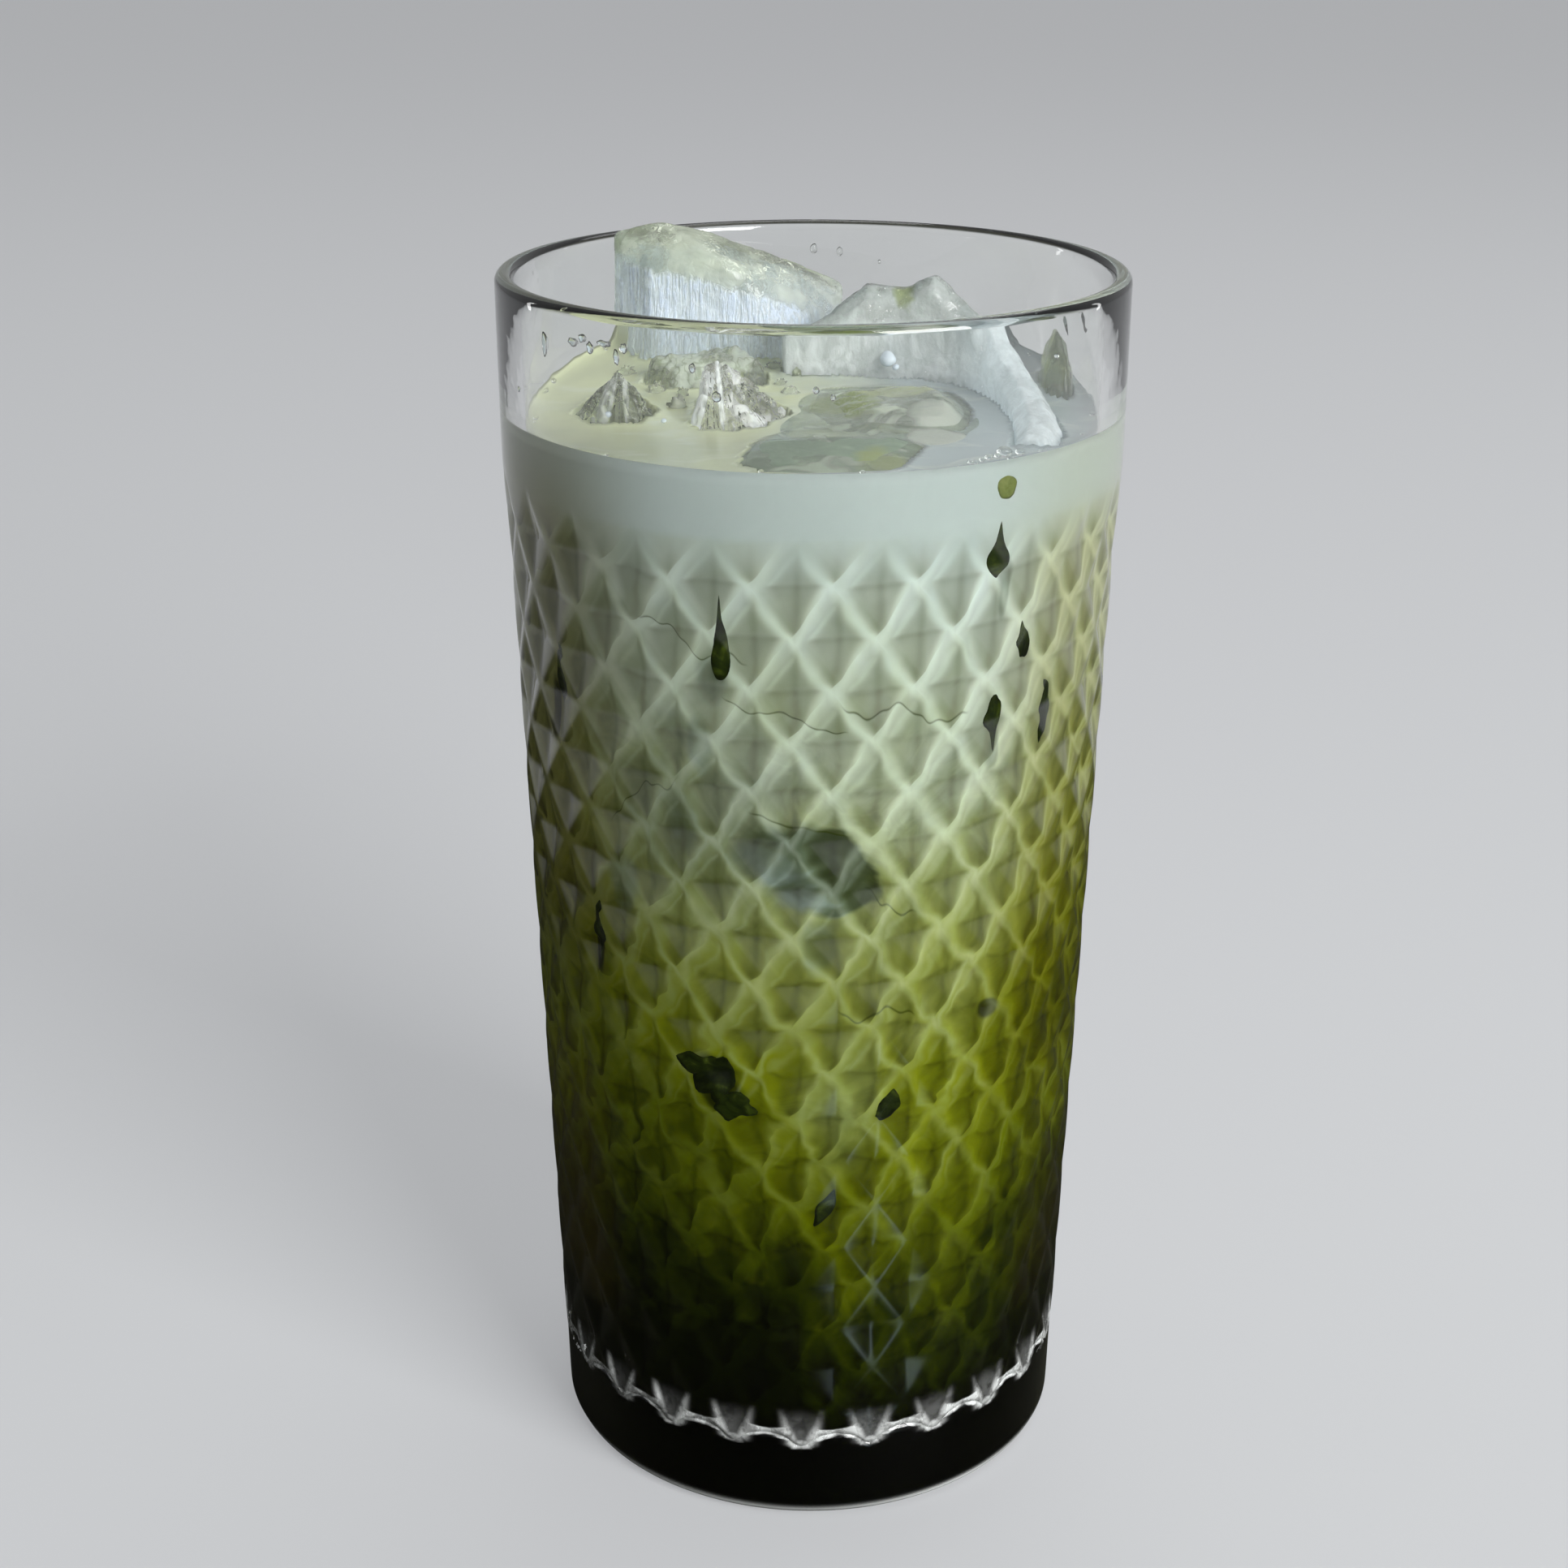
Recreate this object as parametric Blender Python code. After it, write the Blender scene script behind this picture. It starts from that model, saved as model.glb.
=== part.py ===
"""Iced green tea with milk in a tall diamond-relief tumbler, with ice.

Metres, +Z up, glass axis on Z, base on z = 0, front towards -Y.
"""
import math

import bmesh
import bpy
from mathutils import Vector

for obj in list(bpy.data.objects):
    bpy.data.objects.remove(obj, do_unlink=True)

MM = 0.001

# ---- glass -------------------------------------------------------------
HEIGHT = 150.0            # foot to rim
R_BAND = 36.55            # smooth band under the rim
R_FOOT = 32.60            # smooth foot band at the table
R_RELIEF_LOW = 32.98      # ridge cone at RELIEF_LOW_Z
R_RELIEF_HIGH = 35.97     # ridge cone at RELIEF_HIGH_Z
RELIEF_LOW_Z = 12.5
RELIEF_HIGH_Z = 119.0
RIM_R = 1.08              # rounding of the lip
IN_R_LOW = 29.3           # cavity radius at IN_LOW_Z
IN_LOW_Z = 14.0
IN_SLOPE = 0.0375         # cavity taper, mm of radius per mm of height
FLOOR_Z = 8.5             # cavity floor
FLOOR_ROUND = 4.6         # rounding of the cavity's lower corner

# ---- diamond relief ----------------------------------------------------
DIAMONDS = 24             # round the glass
COLS = 2 * DIAMONDS
ROW_H = 5.93              # half the height of a diamond
ROW0_Z = 21.93            # a row of ridge crossings
ROW_FIRST = -2            # the lowest tips
ROW_LAST = 18             # the highest tips
PHASE = -2.1              # azimuth of a column of crossings, degrees from the front
DEPTH = 0.55              # how deep a diamond is cut
SHOULDER_LOW_Z = 118.5    # the ridge cone swells into the band from here
SHOULDER_HIGH_Z = 133.0   # to here

# ---- drink -------------------------------------------------------------
LEVEL_Z = 133.8           # liquid level
GAP = 0.3                 # clearance between touching pieces
TEA_TOP_Z = 50.0          # mean height of the border between tea and milk
TEA_WAVE = 3.2            # how far the border rises and falls
TEA_TILT = -3.4           # the border falls towards +X by this much


def make_material(name, color, rough, trans=0.0, ior=1.45):
    mat = bpy.data.materials.new(name)
    mat.use_nodes = True
    bsdf = next(n for n in mat.node_tree.nodes if n.type == "BSDF_PRINCIPLED")
    bsdf.inputs["Base Color"].default_value = (*color, 1.0)
    bsdf.inputs["Roughness"].default_value = rough
    bsdf.inputs["Transmission Weight"].default_value = trans
    bsdf.inputs["IOR"].default_value = ior
    mat.diffuse_color = (*color, 1.0)
    return mat


def add_mesh(name, verts, faces, mat, smooth=False):
    mesh = bpy.data.meshes.new(name)
    mesh.from_pydata([tuple(c * MM for c in v) for v in verts], [], faces)
    mesh.materials.append(mat)
    mesh.validate()
    for poly in mesh.polygons:
        poly.use_smooth = smooth
    mesh.update()
    obj = bpy.data.objects.new(name, mesh)
    bpy.context.scene.collection.objects.link(obj)
    return obj


def azimuth(col):
    return math.radians(PHASE + 360.0 * col / COLS)


def at(radius, col, z):
    a = azimuth(col)
    return (radius * math.sin(a), -radius * math.cos(a), z)


def ridge_r(z):
    t = (z - RELIEF_LOW_Z) / (RELIEF_HIGH_Z - RELIEF_LOW_Z)
    cone = R_RELIEF_LOW + t * (R_RELIEF_HIGH - R_RELIEF_LOW)
    t = min(max((z - SHOULDER_LOW_Z) / (SHOULDER_HIGH_Z - SHOULDER_LOW_Z), 0.0), 1.0)
    return cone + (R_BAND - cone) * t * t * (3 - 2 * t)


def cavity_r(z):
    return IN_R_LOW + IN_SLOPE * (z - IN_LOW_Z)


def skin(rings, flips=None):
    """Joins rings of COLS points, the first and last closed by a centre point."""
    verts, faces = [], []
    verts.append(rings[0])
    starts = []
    for ring in rings[1:-1]:
        starts.append(len(verts))
        verts.extend(ring)
    last = len(verts)
    verts.append(rings[-1])
    for c in range(COLS):
        d = (c + 1) % COLS
        faces.append((0, starts[0] + d, starts[0] + c))
        faces.append((starts[-1] + c, starts[-1] + d, last))
    for k in range(len(starts) - 1):
        lo, hi = starts[k], starts[k + 1]
        for c in range(COLS):
            d = (c + 1) % COLS
            if flips and flips(k, c):
                faces.append((lo + c, lo + d, hi + c))
                faces.append((lo + d, hi + d, hi + c))
            else:
                faces.append((lo + c, lo + d, hi + d))
                faces.append((lo + c, hi + d, hi + c))
    return verts, faces


# ---- glass -------------------------------------------------------------
rings = [(0.0, 0.0, 0.0)]
low_rows = 0
for radius, z in ((R_FOOT - 1.0, 0.0), (R_FOOT - 0.3, 0.3), (R_FOOT, 1.0)):
    rings.append([at(radius, c, z) for c in range(COLS)])
    low_rows += 1
for row in range(ROW_FIRST, ROW_LAST + 1):
    z = ROW0_Z + ROW_H * row
    ring = []
    for c in range(COLS):
        centre = (row + c) % 2 == 1 and ROW_FIRST < row < ROW_LAST
        ring.append(at(ridge_r(z) - (DEPTH if centre else 0.0), c, z))
    rings.append(ring)
rings.append([at(R_BAND, c, SHOULDER_HIGH_Z) for c in range(COLS)])
lip_z = HEIGHT - RIM_R
lip_mid = R_BAND - RIM_R
for deg in (0, 40, 75, 105, 140, 180):
    a = math.radians(deg)
    rings.append([at(lip_mid + RIM_R * math.cos(a), c, lip_z + RIM_R * math.sin(a)) for c in range(COLS)])
rings.append([at(cavity_r(74.0), c, 74.0) for c in range(COLS)])
round_mid_z = FLOOR_Z + FLOOR_ROUND
wall_r = cavity_r(round_mid_z)
for deg in (0, 30, 60, 90):
    a = math.radians(deg)
    rings.append([at(wall_r - FLOOR_ROUND * (1 - math.cos(a)), c, round_mid_z - FLOOR_ROUND * math.sin(a)) for c in range(COLS)])
rings.append((0.0, 0.0, FLOOR_Z))


def ridge_diagonal(k, c):
    """True where the quad's ridge runs from lower right to upper left."""
    row = ROW_FIRST + k - low_rows
    if ROW_FIRST <= row <= ROW_LAST:
        return (row + c) % 2 == 1
    return False


glass_verts, glass_faces = skin(rings, ridge_diagonal)
glass_mat = make_material("clear_glass", (0.93, 0.95, 0.94), 0.03, 1.0, 1.5)
glass = add_mesh("glass", glass_verts, glass_faces, glass_mat, smooth=False)
for poly in glass.data.polygons:
    z = poly.center.z / MM
    r = math.hypot(poly.center.x, poly.center.y) / MM
    in_relief = ROW0_Z + ROW_H * ROW_FIRST < z < ROW0_Z + ROW_H * ROW_LAST and r > cavity_r(z) + 1.0
    poly.use_smooth = not in_relief and z > 0.01

# ---- drink -------------------------------------------------------------


def border_z(radius, a):
    """Height of the wavy border between tea and milk."""
    x, y = radius * math.sin(a), -radius * math.cos(a)
    wave = math.sin(0.115 * x + 0.4) * math.cos(0.1 * y - 0.5) + 0.35 * math.sin(0.24 * x + 0.19 * y)
    return TEA_TOP_Z + TEA_TILT * x / R_FOOT + TEA_WAVE * wave


RING_SHARES = (1.0, 0.82, 0.6, 0.36)


def border_rings(offset):
    out = []
    for share in RING_SHARES:
        ring = []
        for c in range(COLS):
            a = azimuth(c)
            radius = share * (cavity_r(TEA_TOP_Z) - GAP - 0.2)
            z = border_z(radius, a) + offset
            if share == 1.0:
                radius = cavity_r(z) - GAP
            ring.append((radius * math.sin(a), -radius * math.cos(a), z))
        out.append(ring)
    return out


tea_rings = [(0.0, 0.0, FLOOR_Z + GAP)]
for deg in (90, 60, 30, 0):
    a = math.radians(deg)
    tea_rings.append([at(wall_r - GAP - (FLOOR_ROUND - GAP) * (1 - math.cos(a)), c,
                         round_mid_z - (FLOOR_ROUND - GAP) * math.sin(a)) for c in range(COLS)])
tea_rings += border_rings(0.0)
tea_rings.append((0.0, 0.0, border_z(0.0, 0.0)))
tea_verts, tea_faces = skin(tea_rings)
tea_mat = make_material("green_tea", (0.035, 0.065, 0.008), 0.25)
tea = add_mesh("tea_layer", tea_verts, tea_faces, tea_mat, smooth=True)

milk_rings = [(0.0, 0.0, border_z(0.0, 0.0) + GAP)]
milk_rings += list(reversed(border_rings(GAP)))
milk_rings.append([at(cavity_r(LEVEL_Z) - GAP, c, LEVEL_Z) for c in range(COLS)])
milk_rings.append((0.0, 0.0, LEVEL_Z))
milk_verts, milk_faces = skin(milk_rings, lambda k, c: k < len(RING_SHARES) - 1)
milk_mat = make_material("milk_tea", (0.55, 0.62, 0.42), 0.3)
milk = add_mesh("milk_layer", milk_verts, milk_faces, milk_mat, smooth=True)

# ---- ice ---------------------------------------------------------------
# A crag is the hull of a foot outline in plan, taken down into the drink,
# and a few top corners; its edges are melted round.


def crag(name, foot, foot_z, top, mat, melt=0.55, grow=0.0):
    mid_x = sum(p[0] for p in foot) / len(foot)
    mid_y = sum(p[1] for p in foot) / len(foot)
    corners = []
    for x, y in foot:
        dx, dy = x - mid_x, y - mid_y
        size = math.hypot(dx, dy)
        gx, gy = dx / size * grow, dy / size * grow
        corners.append((x + gx, y + gy, LEVEL_Z - 0.6))
        corners.append((mid_x + 0.8 * dx + gx, mid_y + 0.8 * dy + gy, foot_z - grow))
    for x, y, z in top:
        dx, dy = x - mid_x, y - mid_y
        size = max(math.hypot(dx, dy), 0.1)
        corners.append((x + dx / size * grow, y + dy / size * grow, z + grow))
    bm = bmesh.new()
    points = [bm.verts.new(Vector(c) * MM) for c in corners]
    found = bmesh.ops.convex_hull(bm, input=points)
    spare = list({e for e in found["geom_interior"] + found["geom_unused"] if isinstance(e, bmesh.types.BMVert)})
    bmesh.ops.delete(bm, geom=spare, context="VERTS")
    bmesh.ops.dissolve_limit(bm, angle_limit=0.03, verts=bm.verts[:], edges=bm.edges[:])
    if melt > 0.0:
        bmesh.ops.bevel(bm, geom=bm.edges[:] + bm.verts[:], offset=melt * MM, segments=1,
                        profile=0.5, affect="EDGES", clamp_overlap=True)
    bmesh.ops.triangulate(bm, faces=bm.faces[:])
    bmesh.ops.recalc_face_normals(bm, faces=bm.faces[:])
    mesh = bpy.data.meshes.new(name)
    bm.to_mesh(mesh)
    bm.free()
    mesh.materials.append(mat)
    obj = bpy.data.objects.new(name, mesh)
    bpy.context.scene.collection.objects.link(obj)
    return obj


def shell(name, path, tops, bottom, thick, mat, grow=0.0):
    """A curved plate of ice: a path in plan, a top height at each point."""
    verts, faces = [], []
    n = len(path)
    for i, (x, y) in enumerate(path):
        before = path[max(i - 1, 0)]
        after = path[min(i + 1, n - 1)]
        tx, ty = after[0] - before[0], after[1] - before[1]
        size = math.hypot(tx, ty)
        nx, ny = ty / size, -tx / size
        end = 0.0
        if i == 0:
            end = -grow
        elif i == n - 1:
            end = grow
        x, y = x + tx / size * end, y + ty / size * end
        half = thick[i] / 2 + grow
        top = tops[i] + grow
        low = bottom - grow
        for side, z in ((half, low), (half * 1.0, top - 1.6), (half * 0.45, top), (-half * 0.45, top), (-half, top - 1.6), (-half, low)):
            verts.append((x + nx * side, y + ny * side, z))
    m = 6
    for i in range(n - 1):
        for j in range(m):
            k = (j + 1) % m
            a, b, c, d = i * m + j, i * m + k, (i + 1) * m + k, (i + 1) * m + j
            faces.append((a, b, c))
            faces.append((a, c, d))
    faces.append(tuple(reversed(range(m))))
    faces.append(tuple((n - 1) * m + j for j in range(m)))
    obj = add_mesh(name, verts, faces, mat, smooth=False)
    bm = bmesh.new()
    bm.from_mesh(obj.data)
    bmesh.ops.triangulate(bm, faces=bm.faces[:])
    bmesh.ops.recalc_face_normals(bm, faces=bm.faces[:])
    bm.to_mesh(obj.data)
    bm.free()
    return obj


def clear_ice(name, tint=(0.86, 0.92, 0.88)):
    return make_material(name, tint, 0.08, 0.85, 1.31)


CRAGS = {
    # name: (foot outline in plan, depth reached, top corners)
    "ice_chunk_back": (((-21.6, 15.6), (-2.0, 16.0), (3.4, 18.6), (1.0, 24.0), (-20.0, 23.6), (-23.8, 18.8)), 128.5, (
        (-19.6, 13.0, 138.0), (-2.6, 13.0, 138.2), (-0.6, 14.4, 141.4), (-19.8, 14.0, 148.6), (-11.0, 14.2, 148.3),
        (-18.4, 19.6, 152.5), (-12.8, 22.0, 150.8), (0.0, 22.4, 144.9), (4.2, 22.8, 144.5), (4.2, 23.0, 142.6),
        (-24.4, 19.0, 151.0), (-24.6, 18.4, 139.0), (-22.6, 22.6, 149.8), (-11.0, 25.6, 148.6), (2.6, 25.4, 142.6))),
    "ice_chunk_low": (((-21.0, 5.6), (-17.6, 2.8), (-9.0, 3.0), (-5.2, 4.4), (-5.0, 9.0), (-12.0, 11.0), (-20.6, 10.4)), 127.5, (
        (-19.6, 8.4, 137.6), (-15.0, 6.0, 137.2), (-11.0, 8.6, 138.2), (-6.4, 7.4, 137.2), (-8.0, 9.4, 137.6))),
    "ice_wedge_front": (((-6.6, -18.8), (9.6, -18.6), (12.4, -20.4), (8.6, -30.6), (2.0, -32.4), (-5.0, -32.0), (-8.2, -28.4)), 126.5, (
        (-5.6, -19.4, 134.5), (9.6, -19.2, 134.7), (6.0, -28.0, 134.2), (-4.6, -29.4, 134.1))),
    "ice_dome_front": (((0.6, 3.2), (9.4, 4.2), (16.8, 2.2), (18.6, -5.6), (17.2, -13.6), (12.0, -17.2), (2.6, -16.6), (-0.6, -6.6)), 125.5, (
        (4.6, -2.0, 135.0), (12.8, -1.6, 135.7), (15.6, -6.6, 135.7), (13.4, -12.6, 135.2), (5.0, -12.4, 134.9))),
    "ice_spike_left": (((-28.3, -6.6), (-24.6, -11.4), (-19.6, -11.8), (-17.4, -4.2), (-21.6, 1.6), (-26.4, 0.4)), 128.0, (
        (-22.2, -7.4, 139.3), (-23.6, -5.6, 137.8), (-20.4, -7.2, 137.0))),
    "ice_spike_middle": (((-14.2, -13.4), (-10.4, -15.2), (-5.6, -13.2), (-1.6, -6.6), (-6.6, 1.0), (-13.6, -0.6)), 127.5, (
        (-12.2, -7.0, 139.7), (-10.6, -6.4, 139.5), (-6.2, -5.0, 136.6))),
    "ice_bit_right": (((27.9, 1.6), (31.4, -0.6), (32.2, 8.2), (28.6, 11.0)), 129.0, (
        (28.7, 3.6, 138.6), (31.0, 1.6, 138.4), (30.4, 5.2, 139.6), (30.4, 8.6, 138.4))),
}

SHELL_PATH = ((-3.6, 9.6), (1.2, 9.8), (6.6, 9.6), (11.0, 9.2), (14.6, 8.4), (18.6, 6.8), (22.0, 3.4), (24.0, -2.0), (24.9, -8.4), (24.8, -14.6), (23.4, -20.4))
SHELL_TOPS = (139.6, 142.0, 146.4, 145.8, 147.6, 143.8, 139.8, 137.6, 136.4, 135.5, 134.6)
SHELL_THICK = (3.2, 4.0, 4.4, 4.4, 4.6, 4.8, 4.8, 4.8, 5.0, 5.0, 4.2)
SHELL_LOW = 127.0

pieces = []
for key, (foot, foot_z, top) in CRAGS.items():
    pieces.append(crag(key, foot, foot_z, top, clear_ice(key + "_ice")))
pieces.append(shell("ice_shell_right", SHELL_PATH, SHELL_TOPS, SHELL_LOW, SHELL_THICK, clear_ice("ice_shell_right_ice")))


def cut(target, cutter):
    cutter.display_type = "WIRE"
    cutter.hide_render = True
    mod = target.modifiers.new("pocket_" + cutter.name, "BOOLEAN")
    mod.operation = "DIFFERENCE"
    mod.solver = "EXACT"
    mod.object = cutter


for key, (foot, foot_z, top) in CRAGS.items():
    cut(milk, crag("pocket_" + key, foot, foot_z, top, milk_mat, grow=GAP + 0.12))
cut(milk, shell("pocket_shell", SHELL_PATH, SHELL_TOPS, SHELL_LOW, SHELL_THICK, milk_mat, grow=GAP))
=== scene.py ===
"""Looks of an iced green tea with milk in a tall diamond-relief tumbler."""

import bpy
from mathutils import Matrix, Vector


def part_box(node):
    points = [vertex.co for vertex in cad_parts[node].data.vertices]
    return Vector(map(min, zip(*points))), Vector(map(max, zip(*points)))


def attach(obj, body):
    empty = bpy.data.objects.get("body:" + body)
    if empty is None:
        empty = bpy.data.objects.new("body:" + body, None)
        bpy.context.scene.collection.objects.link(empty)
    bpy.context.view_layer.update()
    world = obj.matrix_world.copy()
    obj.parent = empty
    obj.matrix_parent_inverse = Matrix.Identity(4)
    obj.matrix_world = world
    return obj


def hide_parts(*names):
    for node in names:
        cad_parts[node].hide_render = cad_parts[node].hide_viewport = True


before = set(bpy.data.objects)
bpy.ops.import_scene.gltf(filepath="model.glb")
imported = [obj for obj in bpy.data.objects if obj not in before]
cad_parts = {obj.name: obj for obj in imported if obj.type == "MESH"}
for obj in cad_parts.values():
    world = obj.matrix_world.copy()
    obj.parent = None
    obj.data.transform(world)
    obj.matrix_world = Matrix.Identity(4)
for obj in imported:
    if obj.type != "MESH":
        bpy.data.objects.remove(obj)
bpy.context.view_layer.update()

import math
import random

import bmesh
import bpy
import numpy as np
from mathutils import Vector, noise
from mathutils.bvhtree import BVHTree

MM = 0.001

# ---- sizes, as in the frame, in mm ------------------------------------------
HEIGHT = 150.0
R_BAND = 36.52
R_FOOT = 32.58
RELIEF_LOW_Z, RELIEF_HIGH_Z = 12.5, 119.0
R_RELIEF_LOW, R_RELIEF_HIGH = 32.98, 35.97
SHOULDER_LOW_Z, SHOULDER_HIGH_Z = 118.5, 133.0
RIM_R = 1.08
IN_R_LOW, IN_LOW_Z, IN_SLOPE = 29.3, 14.0, 0.0375
FLOOR_Z, FLOOR_ROUND = 8.5, 4.6
COLS = 48
ROW_H, ROW0_Z = 5.93, 21.93
ROW_FIRST, ROW_LAST = -2, 18
PHASE = -2.1
LEVEL_Z = 133.8
DEPTH = 0.80              # how deep a cup is pressed
RIDGE = 0.055             # rounding of the ridges, in cells


def ridge_r(z):
    cone = R_RELIEF_LOW + (z - RELIEF_LOW_Z) / (RELIEF_HIGH_Z - RELIEF_LOW_Z) * (R_RELIEF_HIGH - R_RELIEF_LOW)
    t = np.clip((z - SHOULDER_LOW_Z) / (SHOULDER_HIGH_Z - SHOULDER_LOW_Z), 0.0, 1.0)
    return cone + (R_BAND - cone) * t * t * (3 - 2 * t)


def cavity_r(z):
    return IN_R_LOW + IN_SLOPE * (z - IN_LOW_Z)


def smooth01(t):
    t = np.clip(t, 0.0, 1.0)
    return t * t * (3 - 2 * t)


def cup(c, k):
    """Depth share of the pressed cups at column c and row k: 0 on the ridges, 1 in a cup's middle."""
    a, b = (c + k) / 2, (c - k) / 2
    da = np.abs(a - np.round(a)) * 2
    db = np.abs(b - np.round(b)) * 2
    h = 0.10
    m = np.minimum(da, db)
    e = np.clip((h - np.abs(da - db)) / h, 0, 1)
    m = m - e * e * h / 4
    m = np.maximum(m, 0.0)
    w = RIDGE * 2
    return (np.sqrt(m * m + w * w) - w) / (math.sqrt(1 + w * w) - w)


# ---- node helpers -----------------------------------------------------------


class Nodes:
    """A small helper that adds shader nodes to a material or a world."""

    def __init__(self, tree):
        self.tree = tree
        self.n = 0

    def add(self, kind, **props):
        node = self.tree.nodes.new(kind)
        self.n += 1
        node.location = (-220 * (self.n % 9), -160 * (self.n // 9))
        for key, value in props.items():
            setattr(node, key, value)
        return node

    def link(self, value, socket):
        if isinstance(value, bpy.types.NodeSocket):
            self.tree.links.new(value, socket)
        elif isinstance(value, (tuple, list)) and len(value) == 3 and socket.type == "RGBA":
            socket.default_value = (*value, 1.0)
        else:
            socket.default_value = value

    def math(self, op, a, b=0.0, c=None, clamp=False):
        node = self.add("ShaderNodeMath", operation=op, use_clamp=clamp)
        self.link(a, node.inputs[0])
        self.link(b, node.inputs[1])
        if c is not None:
            self.link(c, node.inputs[2])
        return node.outputs[0]

    def vmath(self, op, a, b=(0.0, 0.0, 0.0), scale=None):
        node = self.add("ShaderNodeVectorMath", operation=op)
        self.link(a, node.inputs[0])
        if op not in ("LENGTH", "NORMALIZE", "SCALE"):
            self.link(b, node.inputs[1])
        if scale is not None:
            self.link(scale, node.inputs[3])
        return node.outputs["Value"] if op in ("LENGTH", "DOT_PRODUCT", "DISTANCE") else node.outputs["Vector"]

    def mapr(self, value, f0, f1, t0=0.0, t1=1.0, smooth=True):
        node = self.add("ShaderNodeMapRange", interpolation_type="SMOOTHSTEP" if smooth else "LINEAR")
        self.link(value, node.inputs["Value"])
        for name, v in (("From Min", f0), ("From Max", f1), ("To Min", t0), ("To Max", t1)):
            self.link(v, node.inputs[name])
        return node.outputs["Result"]

    def noise(self, vector, scale, detail=3.0, rough=0.5, distort=0.0, dims="3D", w=0.0):
        node = self.add("ShaderNodeTexNoise", noise_dimensions=dims)
        self.link(vector, node.inputs["Vector"])
        if dims == "4D":
            node.inputs["W"].default_value = w
        node.inputs["Scale"].default_value = scale
        node.inputs["Detail"].default_value = detail
        node.inputs["Roughness"].default_value = rough
        node.inputs["Distortion"].default_value = distort
        return node.outputs["Fac"]

    def noise_color(self, vector, scale, detail=2.0):
        node = self.add("ShaderNodeTexNoise")
        self.link(vector, node.inputs["Vector"])
        node.inputs["Scale"].default_value = scale
        node.inputs["Detail"].default_value = detail
        return node.outputs["Color"]

    def mix(self, fac, a, b, blend="MIX"):
        node = self.add("ShaderNodeMix", data_type="RGBA", blend_type=blend)
        self.link(fac, node.inputs["Factor"])
        self.link(a, node.inputs["A"] if False else node.inputs[6])
        self.link(b, node.inputs[7])
        return node.outputs[2]

    def ramp(self, value, stops, interp="LINEAR"):
        node = self.add("ShaderNodeValToRGB")
        self.link(value, node.inputs["Fac"])
        cr = node.color_ramp
        cr.interpolation = interp
        while len(cr.elements) > 1:
            cr.elements.remove(cr.elements[-1])
        cr.elements[0].position = stops[0][0]
        cr.elements[0].color = (*stops[0][1], 1.0)
        for pos, col in stops[1:]:
            el = cr.elements.new(pos)
            el.color = (*col, 1.0)
        return node.outputs["Color"]


def lin(r, g, b):
    """8-bit screen colour to scene-linear."""
    out = []
    for v in (r, g, b):
        v = v / 255.0
        out.append(v / 12.92 if v <= 0.04045 else ((v + 0.055) / 1.055) ** 2.4)
    return tuple(out)


def new_material(name):
    mat = bpy.data.materials.new(name)
    mat.use_nodes = True
    mat.cycles.emission_sampling = "NONE"   # the faint glows light nothing else
    bsdf = next(n for n in mat.node_tree.nodes if n.type == "BSDF_PRINCIPLED")
    nodes = Nodes(mat.node_tree)
    coord = nodes.add("ShaderNodeTexCoord")
    pos = nodes.vmath("SCALE", coord.outputs["Object"], scale=1000.0)   # millimetres
    return mat, bsdf, nodes, pos


def bump(nodes, height, strength, distance_mm, bsdf):
    node = nodes.add("ShaderNodeBump")
    node.inputs["Strength"].default_value = strength
    node.inputs["Distance"].default_value = distance_mm * MM
    nodes.link(height, node.inputs["Height"])
    nodes.link(node.outputs["Normal"], bsdf.inputs["Normal"])
    return node


def make_object(name, verts, faces, mats, smooth=True, slots=None):
    """A mesh object from millimetre points."""
    mesh = bpy.data.meshes.new(name)
    mesh.from_pydata([tuple(v) for v in (np.asarray(verts, float) * MM)], [], faces)
    for m in mats:
        mesh.materials.append(m)
    if slots is not None:
        mesh.polygons.foreach_set("material_index", slots)
    mesh.polygons.foreach_set("use_smooth", [smooth] * len(mesh.polygons))
    mesh.update()
    obj = bpy.data.objects.new(name, mesh)
    bpy.context.scene.collection.objects.link(obj)
    return obj


# ---- materials --------------------------------------------------------------


def column_and_height(nodes, pos):
    """Azimuth from the front in degrees, and the height, of an object-space point in mm."""
    sep = nodes.add("ShaderNodeSeparateXYZ")
    nodes.link(pos, sep.inputs[0])
    x, y, z = sep.outputs
    az = nodes.math("ARCTAN2", x, nodes.math("MULTIPLY", y, -1.0))
    return nodes.math("MULTIPLY", az, 180.0 / math.pi), z


def bell(nodes, value, width):
    v = nodes.math("DIVIDE", value, width)
    return nodes.math("EXPONENT", nodes.math("MULTIPLY", nodes.math("MULTIPLY", v, v), -1.0))


def glass_material():
    mat, bsdf, nodes, pos = new_material("pressed_glass")
    bsdf.inputs["Base Color"].default_value = (0.975, 0.985, 0.975, 1.0)
    bsdf.inputs["Transmission Weight"].default_value = 1.0
    bsdf.inputs["IOR"].default_value = 1.5
    smear = nodes.noise(pos, 0.06, 4.0, 0.6)
    rough = nodes.mapr(smear, 0.45, 0.75, 0.0, 0.035)
    nodes.link(rough, bsdf.inputs["Roughness"])
    wave = nodes.noise(pos, 0.22, 2.0, 0.45)
    bump(nodes, wave, 0.16, 0.12, bsdf)
    return mat


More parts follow.
